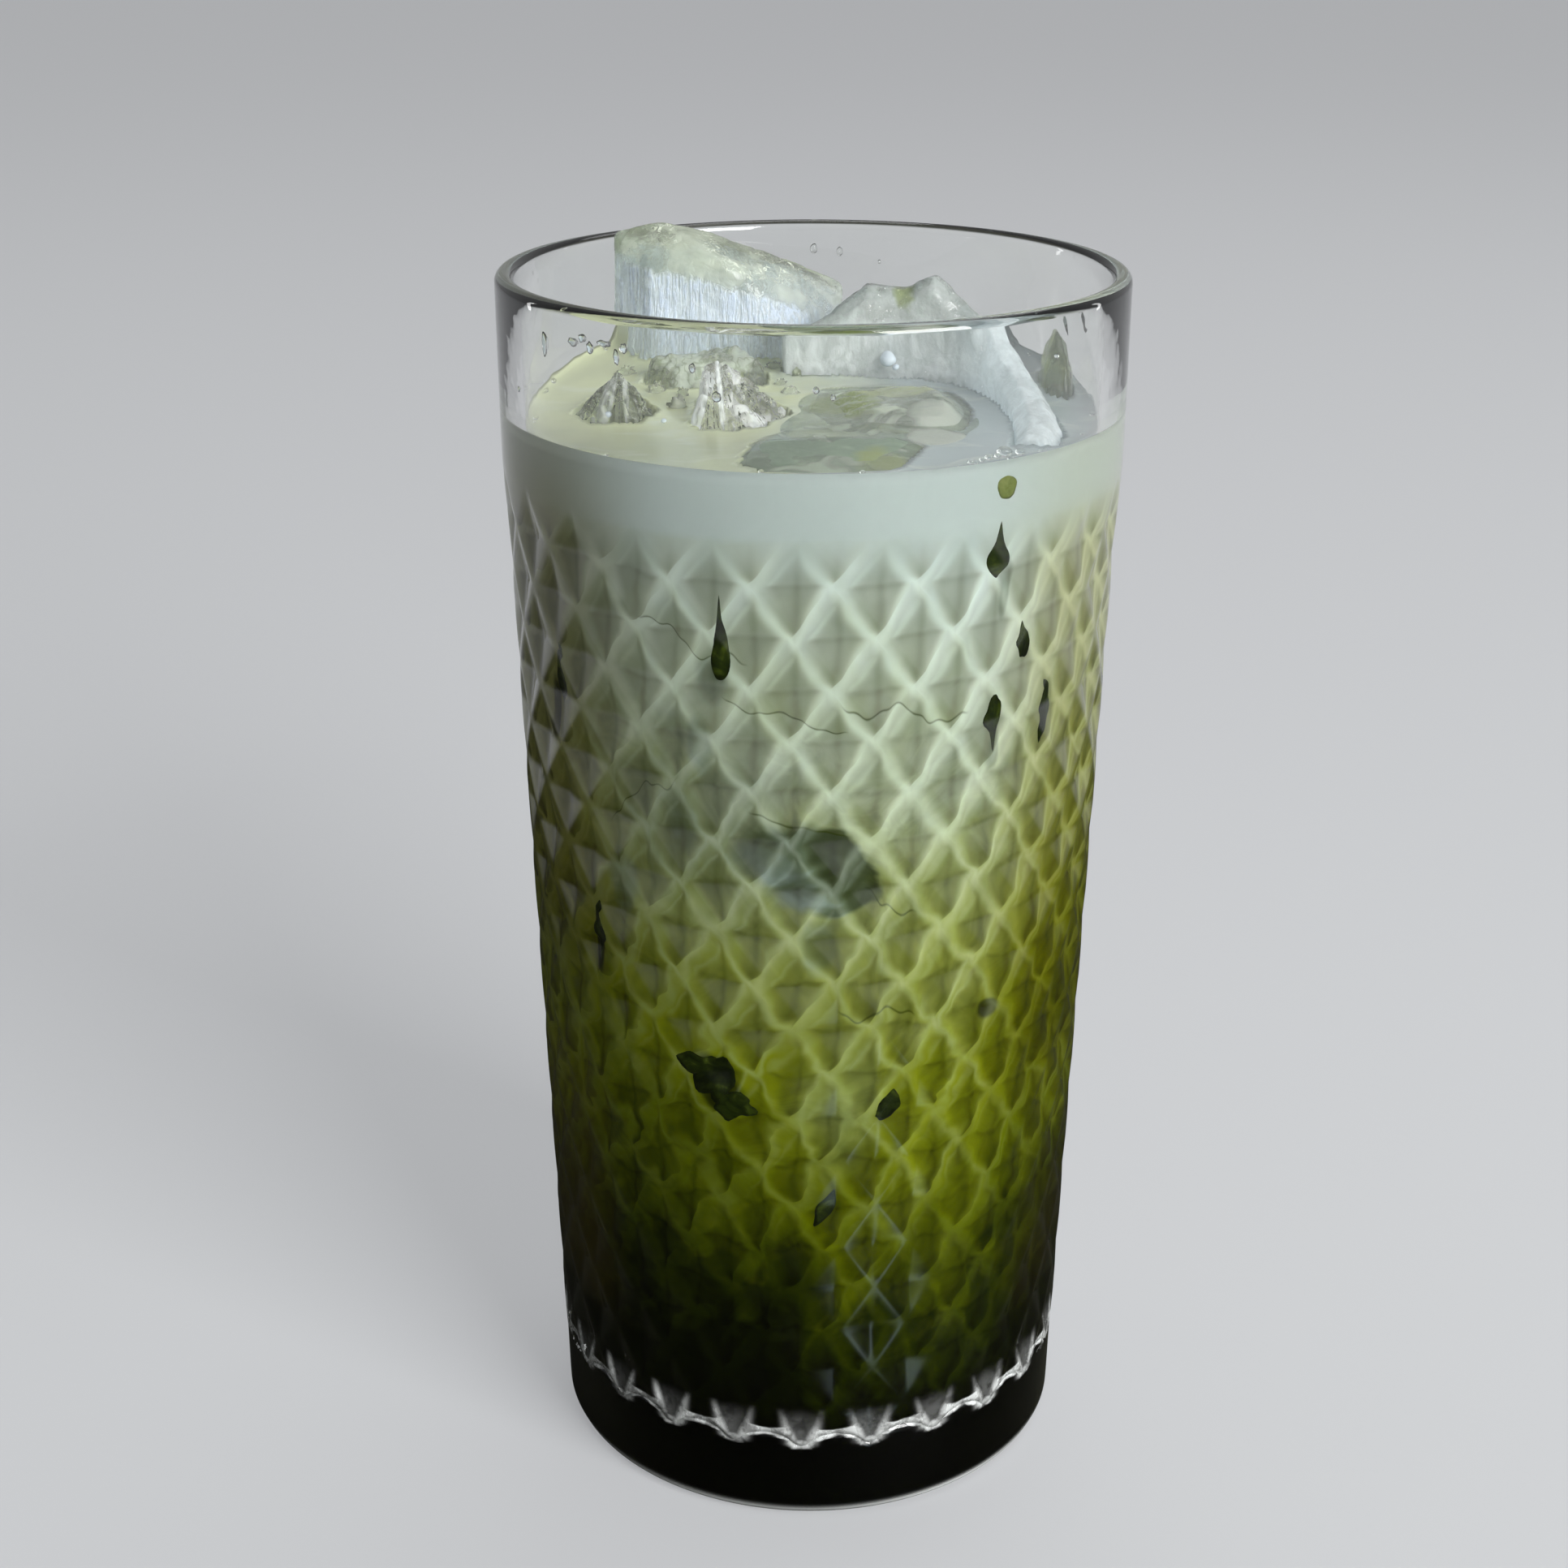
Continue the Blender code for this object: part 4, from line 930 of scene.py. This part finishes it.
def ball(at, size, rows=10, cols=16, rag=0.0, seed=0, cut_low=None):
    """A squashed, optionally ragged ball of (x, y, z) half sizes."""
    verts, faces = [(at[0], at[1], at[2] - size[2])], []
    for r in range(1, rows):
        t = math.pi * r / rows
        for c in range(cols):
            p = 2 * math.pi * c / cols
            d = Vector((math.sin(t) * math.sin(p), -math.sin(t) * math.cos(p), -math.cos(t)))
            k = 1.0
            if rag:
                near = noise.voronoi(d * 1.7 + Vector((seed * 1.7, seed * 0.9, seed * 2.3)))[0]
                k = 1.0 - rag * (0.6 - min(near[1] - near[0], 0.6))
            verts.append((at[0] + d.x * size[0] * k, at[1] + d.y * size[1] * k, at[2] + d.z * size[2] * k))
    verts.append((at[0], at[1], at[2] + size[2]))
    last = len(verts) - 1
    for c in range(cols):
        e = (c + 1) % cols
        faces.append((0, 1 + e, 1 + c))
        faces.append((last, 1 + (rows - 2) * cols + c, 1 + (rows - 2) * cols + e))
    for r in range(rows - 2):
        lo, hi = 1 + r * cols, 1 + (r + 1) * cols
        for c in range(cols):
            e = (c + 1) % cols
            faces.append((lo + c, lo + e, hi + e, hi + c))
    return verts, faces


def make_crumbs():
    rng = random.Random(7)
    parts = []
    spots = [(-18.6, 2.4), (-15.4, 1.0), (-3.8, 5.0), (-2.6, 1.6), (-4.6, 11.6), (-1.8, 8.4), (-15.6, -4.0), (-16.8, 12.8), (-10.4, 13.0), (-23.2, 10.0)]
    for i, (x, y) in enumerate(spots):
        size = (rng.uniform(0.9, 2.0), rng.uniform(0.7, 1.3), rng.uniform(0.6, 1.3))
        parts.append(ball((x, y, LEVEL_Z + size[2] * 0.15), size, 14, 20, 0.8, i + 1))
    return join_parts("ice_crumbs", parts, ice_material("ice_crumb", (0.94, 0.97, 0.90), (0.90, 0.93, 0.82), 0.30, 0.10, 9.0, rough=(0.03, 0.25)))


def make_sunk_ice():
    """Ice that lies just under the level and joins the low pieces at the front."""
    outline = [(-8.6, -27.6), (-5.4, -31.0), (1.0, -32.6), (8.4, -30.6), (12.0, -22.0), (17.6, -15.4), (19.6, -6.0), (17.6, 2.6), (10.0, 5.0), (0.6, 4.2), (-1.8, -6.0), (-4.0, -15.0), (-7.6, -20.0)]
    mid = (5.0, -13.5)
    angles = sorted((math.atan2(y - mid[1], x - mid[0]), math.hypot(x - mid[0], y - mid[1])) for x, y in outline)
    keys = np.array([a for a, _ in angles])
    lens = np.array([d for _, d in angles])
    keys = np.concatenate([keys - 2 * math.pi, keys, keys + 2 * math.pi])
    lens = np.concatenate([lens, lens, lens])
    cols, rows = 96, 26
    verts, faces = [], []
    for side in (1, -1):
        for r in range(rows, 0, -1) if side == 1 else range(1, rows):
            share = r / rows
            for c in range(cols):
                a = -math.pi + 2 * math.pi * c / cols
                reach = float(np.interp(a, keys, lens))
                x, y = mid[0] + math.cos(a) * reach * share, mid[1] + math.sin(a) * reach * share
                rise = 0.80 * (1 - share ** 2) ** 0.7 + 0.20 * noise.noise(Vector((x, y, 3.0)) * 0.22) * (1 - share ** 2)
                z = LEVEL_Z - 0.12 + rise if side == 1 else LEVEL_Z - 0.12 - 0.9 * (1 - share ** 4)
                verts.append((x, y, z))
    # rows run from the rim to the middle on top, then from the middle to the rim underneath
    top_rings = rows
    top_mid = len(verts)
    verts.append((mid[0], mid[1], LEVEL_Z + 0.68))
    low_mid = len(verts)
    verts.append((mid[0], mid[1], LEVEL_Z - 1.02))
    for r in range(top_rings - 1):
        lo, hi = r * cols, (r + 1) * cols
        for c in range(cols):
            e = (c + 1) % cols
            faces.append((lo + c, lo + e, hi + e, hi + c))
    inner = (top_rings - 1) * cols
    for c in range(cols):
        e = (c + 1) % cols
        faces.append((inner + c, inner + e, top_mid))
    first_low = top_rings * cols
    for c in range(cols):
        e = (c + 1) % cols
        faces.append((first_low + e, first_low + c, low_mid))
    for r in range(rows - 2):
        lo, hi = first_low + r * cols, first_low + (r + 1) * cols
        for c in range(cols):
            e = (c + 1) % cols
            faces.append((lo + c, lo + e, hi + e, hi + c))
    outer_low = first_low + (rows - 2) * cols
    for c in range(cols):
        e = (c + 1) % cols
        faces.append((outer_low + c, outer_low + e, e, c))
    mat = ice_material(
        "ice_under_level", (0.84, 0.93, 0.76), (0.66, 0.76, 0.58), 0.36, 0.20, 11.0, trans=(0.90, 0.40), olive=(0.56, 0.62, 0.36), rough=(0.01, 0.12), grain_bump=0.30,
        patches=((3.6, -4.0, 5.0, 6.0, (0.27, 0.34, 0.045), 0.9), (7.6, -28.5, 3.4, 3.6, (0.40, 0.47, 0.16), 0.85), (14.0, -18.0, 5.0, 4.0, (0.86, 0.91, 0.80), 0.85)))
    return make_object("sunk_ice", verts, faces, [mat], True)


def wall_blob(deg, z, half_w, half_h, tail_up=0.0, tail_down=0.0, lean=0.0, rag=0.12, seed=0, proud=0.10):
    """A thin lens lying on the inner wall; sizes in mm, with a pointed tail up or down."""
    cols, rows = 28, 5
    verts, faces = [], []
    base_r = cavity_r(z)

    def place(dx, dz, lift):
        zz = z + dz
        a = math.radians(deg) + dx / base_r
        radius = cavity_r(zz) + lift
        return (radius * math.sin(a), -radius * math.cos(a), zz)

    def rim(c):
        t = 2 * math.pi * c / cols
        dx, dz = math.sin(t), math.cos(t)
        k = 1.0 + rag * noise.noise(Vector((dx * 1.4, dz * 1.4, seed * 3.7)))
        pull = max(dz, 0.0) ** 6 * tail_up + max(-dz, 0.0) ** 6 * tail_down
        slim = 1.0 - 0.55 * (max(dz, 0.0) ** 2 if tail_up else 0.0) - 0.55 * (max(-dz, 0.0) ** 2 if tail_down else 0.0)
        x = dx * half_w * k * slim
        h = dz * half_h * k + (pull if dz > 0 else -pull)
        return x + lean * h, h

    for side in (1, -1):
        for r in range(rows, 0, -1) if side == 1 else range(1, rows):
            share = r / rows
            for c in range(cols):
                dx, dz = rim(c)
                lift = 0.05 + proud * (1 - share * share) if side == 1 else 0.02 - 0.35 * (1 - share * share)
                verts.append(place(dx * share, dz * share, lift))
    top_mid = len(verts)
    verts.append(place(0, 0, 0.05 + proud))
    low_mid = len(verts)
    verts.append(place(0, 0, 0.02 - 0.35))
    for r in range(rows - 1):
        lo, hi = r * cols, (r + 1) * cols
        for c in range(cols):
            e = (c + 1) % cols
            faces.append((lo + c, hi + c, hi + e, lo + e))
    inner = (rows - 1) * cols
    first_low = rows * cols
    for c in range(cols):
        e = (c + 1) % cols
        faces.append((inner + c, top_mid, inner + e))
        faces.append((first_low + c, first_low + e, low_mid))
    for r in range(rows - 2):
        lo, hi = first_low + r * cols, first_low + (r + 1) * cols
        for c in range(cols):
            e = (c + 1) % cols
            faces.append((lo + c, hi + c, hi + e, lo + e))
    outer_low = first_low + (rows - 2) * cols
    for c in range(cols):
        e = (c + 1) % cols
        faces.append((outer_low + c, c, e, outer_low + e))
    return verts, faces


def make_windows():
    """Dark windows of clear tea against the wall."""
    parts = [
        wall_blob(-17.5, 113.3, 1.25, 2.6, tail_up=4.6, seed=1),
        wall_blob(35.2, 123.3, 1.4, 1.9, tail_up=2.6, tail_down=0.4, rag=0.18, seed=2),
        wall_blob(36.0, 131.3, 1.25, 1.35, rag=0.2, seed=3),
        wall_blob(36.0, 105.0, 1.4, 2.3, tail_down=1.8, rag=0.3, seed=4),
        wall_blob(42.5, 112.7, 1.0, 1.5, tail_up=0.8, rag=0.3, seed=5),
        wall_blob(49.6, 104.0, 1.35, 2.2, tail_up=1.0, tail_down=1.6, rag=0.4, seed=6),
        wall_blob(2.6, 44.2, 1.15, 2.3, tail_up=0.4, tail_down=0.3, lean=0.36, rag=0.12, seed=7, proud=0.03),
        wall_blob(-23.6, 62.4, 2.5, 1.9, rag=0.55, seed=8), wall_blob(-20.4, 60.6, 2.4, 2.9, rag=0.60, seed=9),
        wall_blob(-16.6, 57.6, 2.2, 1.9, rag=0.55, seed=10),
        wall_blob(15.8, 57.4, 1.2, 1.6, tail_up=0.5, lean=0.4, rag=0.25, seed=11),
        wall_blob(-49.0, 76.0, 1.4, 2.6, tail_up=1.8, tail_down=1.2, rag=0.5, seed=12),
        wall_blob(-57.0, 106.0, 1.5, 2.2, tail_up=2.4, tail_down=1.2, rag=0.4, seed=13),
        # the sides and the back carry a few more of the same
        wall_blob(88.0, 97.0, 1.4, 2.4, tail_up=3.0, rag=0.3, seed=15), wall_blob(121.0, 74.0, 2.0, 2.2, rag=0.8, seed=16),
        wall_blob(160.0, 112.0, 1.2, 2.4, tail_up=3.6, rag=0.3, seed=17), wall_blob(-150.0, 90.0, 1.5, 2.1, tail_down=1.6, rag=0.4, seed=18),
        wall_blob(-112.0, 60.0, 2.0, 2.3, rag=0.8, seed=19), wall_blob(-95.0, 118.0, 1.1, 1.8, tail_up=1.4, rag=0.3, seed=20),
    ]
    return join_parts("tea_windows", parts, spot_material())


def make_bubbles():
    rng = random.Random(3)
    parts = []
    for deg, r, z, size in ((29.4, 32.7, 134.3, 0.42), (31.6, 32.9, 134.4, 0.34), (33.4, 32.7, 134.5, 0.46), (35.2, 32.8, 134.5, 0.36), (37.2, 32.5, 134.7, 0.78), (38.6, 32.9, 134.3, 0.40), (41.0, 32.6, 134.4, 0.5)):
        a = math.radians(deg)
        parts.append(ball((r * math.sin(a), -r * math.cos(a), z), (size, size, size * 0.8), 8, 12))
    for i in range(26):
        a = rng.uniform(-math.pi, math.pi)
        size = rng.uniform(0.16, 0.38)
        r = 33.5 - size - rng.uniform(0.0, 0.5)
        parts.append(ball((r * math.sin(a), -r * math.cos(a), LEVEL_Z + 0.35), (size, size, size * 0.8), 6, 10))
    return join_parts("bubbles", parts, water_material())


def make_pearls():
    """Milky bubbles caught on the plate of ice."""
    parts = [ball((9.2, 6.0, 136.1), (0.98, 0.85, 0.66), 14, 20), ball((10.2, 6.0, 135.3), (0.42, 0.40, 0.30), 8, 12),
             ball((-23.2, -9.6, 134.6), (0.42, 0.42, 0.34), 8, 12), ball((-16.8, -11.4, 134.3), (0.30, 0.30, 0.25), 8, 12)]
    return join_parts("pearl_bubbles", parts, pearl_material())


def make_beads():
    """Beads of water on the inner wall over the drink."""
    rng = random.Random(11)
    parts = [wall_blob(-55.2, 145.0, 0.45, 1.5, rag=0.3, seed=31, proud=-0.06)]
    for deg, z, w, h in ((-46.6, 146.0, 0.8, 0.5), (-44.3, 146.6, 0.6, 0.45), (-42.5, 145.6, 0.5, 0.7), (-39.0, 146.4, 0.9, 0.4), (-36.5, 145.2, 0.4, 0.8), (-34.8, 146.2, 0.5, 0.5)):
        parts.append(wall_blob(deg, z, w, h, rag=0.4, seed=int(z * 7), proud=-0.05))
    for i in range(18):
        deg, z = rng.uniform(-180, 180), rng.uniform(136.5, 146.5)
        size = rng.uniform(0.22, 0.5)
        parts.append(wall_blob(deg, z, size, size * rng.uniform(1.0, 1.6), rag=0.2, seed=40 + i, proud=-0.05))
    return join_parts("wall_beads", parts, water_material())


for maker, slot in ((make_crumbs, "ice"), (make_sunk_ice, "ice"), (make_windows, "tea"), (make_bubbles, "milk"), (make_pearls, "ice"), (make_beads, "glass")):
    piece = maker()
    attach(piece, "root")

# ---- the drink: one body from the glass floor to the level ------------------


def make_drink():
    cols = 288
    phi = 2 * np.pi * np.arange(cols) / cols
    grow = 0.05
    rings = []
    mid = FLOOR_Z + FLOOR_ROUND
    wall = cavity_r(mid)
    rings.append((14.0, FLOOR_Z - grow))
    for deg in range(90, -1, -15):
        a = math.radians(deg)
        rings.append((wall + grow - (FLOOR_ROUND + grow) * (1 - math.cos(a)), mid - (FLOOR_ROUND + grow) * math.sin(a)))
    for z in np.linspace(18.0, LEVEL_Z - 1.0, 58):
        rings.append((cavity_r(z) + grow, z))
    rings.append((cavity_r(LEVEL_Z) + grow, LEVEL_Z + 0.5))
    side_rings = len(rings)
    trees = [BVHTree.FromObject(o, bpy.context.evaluated_depsgraph_get()) for o in ice]
    top_r = cavity_r(LEVEL_Z) + grow
    steps = 84
    verts = [(0.0, 0.0, FLOOR_Z - grow)]
    for radius, z in rings:
        verts.extend((radius * math.sin(p), -radius * math.cos(p), z) for p in phi)
    verts = list(verts)
    for s in range(1, steps):
        radius = top_r * (1 - s / steps)
        for p in phi:
            x, y = radius * math.sin(p), -radius * math.cos(p)
            edge = top_r - radius
            z = LEVEL_Z + 0.55 * math.exp(-edge / 0.8)
            z += 0.10 * noise.noise(Vector((x, y, 0.0)) * 0.18)
            dip, near = 1e9, 9.0
            for tree in trees:
                hit = tree.ray_cast(Vector((x, y, 100.0)) * MM, Vector((0, 0, 1)))
                if hit[0] is not None:
                    dip = min(dip, hit[0].z / MM + 0.12)
                found = tree.find_nearest(Vector((x, y, LEVEL_Z)) * MM, 2.5 * MM)
                if found[0] is not None:
                    near = min(near, found[3] / MM)
            if dip < z:
                z = dip
            elif near < 2.5:
                z += 0.42 * math.exp(-near / 0.7)
            verts.append((x, y, z))
    verts.append((0.0, 0.0, LEVEL_Z))
    last = len(verts) - 1
    # the centre point follows its neighbours
    around = [verts[1 + (side_rings + steps - 2) * cols + i][2] for i in range(cols)]
    verts[last] = (0.0, 0.0, min(around))
    faces, slots = [], []
    for i in range(cols):
        faces.append((0, 1 + (i + 1) % cols, 1 + i)); slots.append(0)
    total = side_rings + steps - 1
    for r in range(total - 1):
        lo, hi = 1 + r * cols, 1 + (r + 1) * cols
        for i in range(cols):
            j = (i + 1) % cols
            faces.append((lo + i, lo + j, hi + j, hi + i))
            slots.append(1 if r >= side_rings - 1 else 0)
    lo = 1 + (total - 1) * cols
    for i in range(cols):
        faces.append((lo + i, lo + (i + 1) % cols, last)); slots.append(1)
    return make_object("drink", verts, faces, [DRINK, SURFACE], True, slots)


drink = make_drink()
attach(drink, "root")
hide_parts("tea_layer", "milk_layer")

# ---- stage: floor, lights, camera -------------------------------------------


def make_floor():
    """A pale floor. The floor close to the glass is dark where it is only seen in the glass."""
    mat = bpy.data.materials.new("pale_floor")
    mat.use_nodes = True
    bsdf = next(n for n in mat.node_tree.nodes if n.type == "BSDF_PRINCIPLED")
    nodes = Nodes(mat.node_tree)
    path = nodes.add("ShaderNodeLightPath")
    geo = nodes.add("ShaderNodeNewGeometry")
    dist = nodes.vmath("LENGTH", geo.outputs["Position"])
    near = nodes.mapr(dist, 0.22, 0.33, 1.0, 0.0)
    dark = nodes.math("MULTIPLY", near, nodes.math("SUBTRACT", 1.0, path.outputs["Is Camera Ray"]))
    nodes.link(nodes.mix(dark, (0.30, 0.305, 0.31), (0.034, 0.034, 0.024)), bsdf.inputs["Base Color"])
    # a painted glow on the floor to the right of the front, seen only in glossy rays, so that the wet relief mirrors it
    # as a sheen
    shifted = nodes.vmath("SUBTRACT", geo.outputs["Position"], (0.035, -0.079, 0.0))
    along = nodes.vmath("DOT_PRODUCT", shifted, (0.50, -0.866, 0.0))
    across = nodes.vmath("DOT_PRODUCT", shifted, (0.866, 0.50, 0.0))
    sheen = nodes.math("MULTIPLY", bell(nodes, along, 0.028), bell(nodes, across, 0.0065))
    sheen = nodes.math("MULTIPLY", sheen, nodes.mapr(along, -0.034, -0.022))
    sheen = nodes.math("MULTIPLY", nodes.math("MULTIPLY", sheen, path.outputs["Is Glossy Ray"]), 1.15)
    glow = nodes.vmath("SCALE", (0.84, 1.06, 1.10), scale=sheen)
    nodes.link(nodes.vmath("ADD", nodes.mix(dark, (0.31, 0.315, 0.325), (0.0, 0.0, 0.0)), glow), bsdf.inputs["Emission Color"])
    bsdf.inputs["Emission Strength"].default_value = 1.0
    bsdf.inputs["Roughness"].default_value = 0.7
    bsdf.inputs["Specular IOR Level"].default_value = 0.1
    mesh = bpy.data.meshes.new("floor")
    s = 8.0
    mesh.from_pydata([(-s, -s, -0.0003), (s, -s, -0.0003), (s, s, -0.0003), (-s, s, -0.0003)], [], [(0, 1, 2, 3)])
    mesh.materials.append(mat)
    obj = bpy.data.objects.new("floor", mesh)
    bpy.context.scene.collection.objects.link(obj)
    return obj


make_floor()


def area_light(name, azimuth, elevation, distance, width, height, power, color):
    """A soft box aimed at the glass; azimuth is from the front towards +X."""
    data = bpy.data.lights.new(name, "AREA")
    data.shape = "RECTANGLE"
    data.size, data.size_y = width, height
    data.energy = power
    data.color = color
    obj = bpy.data.objects.new(name, data)
    a, e = math.radians(azimuth), math.radians(elevation)
    target = Vector((0.0, 0.0, 0.08))
    out = Vector((math.sin(a) * math.cos(e), -math.cos(a) * math.cos(e), math.sin(e)))
    obj.location = target + out * distance
    obj.rotation_mode = "QUATERNION"
    obj.rotation_quaternion = out.to_track_quat("Z", "Y")
    bpy.context.scene.collection.objects.link(obj)
    return obj


area_light("key_softbox", 40.0, 24.0, 1.3, 0.70, 0.70, 25.0, (1.0, 1.0, 1.0))
area_light("top_softbox", 160.0, 62.0, 1.4, 0.9, 0.9, 4.0, (0.97, 0.99, 1.0))

area_light("rim_strip_left", -118.0, 6.0, 1.2, 0.05, 0.55, 0.45, (1.0, 1.0, 1.0))
area_light("rim_strip_right", 118.0, 6.0, 1.2, 0.05, 0.55, 0.45, (1.0, 1.0, 1.0))

world = bpy.data.worlds.new("studio")
bpy.context.scene.world = world
world.use_nodes = True
background = next(n for n in world.node_tree.nodes if n.type == "BACKGROUND")
wn = Nodes(world.node_tree)
wcoord = wn.add("ShaderNodeTexCoord")
wsep = wn.add("ShaderNodeSeparateXYZ")
wn.link(wcoord.outputs["Generated"], wsep.inputs[0])
back = wn.mapr(wsep.outputs[1], -0.3, 0.6, 0.0, 1.0)
right = wn.mapr(wsep.outputs[0], -0.7, 0.7, 0.0, 1.0)
level = wn.math("ADD", wn.math("MULTIPLY", back, 0.26), wn.math("MULTIPLY", right, 0.12))
level = wn.math("ADD", level, 0.10)
wpath = wn.add("ShaderNodeLightPath")
level = wn.math("MAXIMUM", level, wn.math("MULTIPLY", wpath.outputs["Is Camera Ray"], 0.62))
wn.link(level, background.inputs["Strength"])
background.inputs["Color"].default_value = (0.97, 0.985, 1.0, 1.0)

cam_data = bpy.data.cameras.new("camera")
cam_data.lens = 54.94
cam_data.sensor_width = 36.0
cam_data.clip_start, cam_data.clip_end = 0.01, 50.0
cam = bpy.data.objects.new("camera", cam_data)
cam.location = (-0.00333, -0.277815, 0.196275)
cam.rotation_mode = "XYZ"
cam.rotation_euler = (math.radians(68.32), 0.0, 0.0)
bpy.context.scene.collection.objects.link(cam)
bpy.context.scene.camera = cam

scene = bpy.context.scene
scene.view_settings.view_transform = "Standard"
scene.view_settings.look = "None"
scene.cycles.max_bounces = 9
scene.cycles.transmission_bounces = 9
scene.cycles.diffuse_bounces = 2
scene.cycles.glossy_bounces = 4
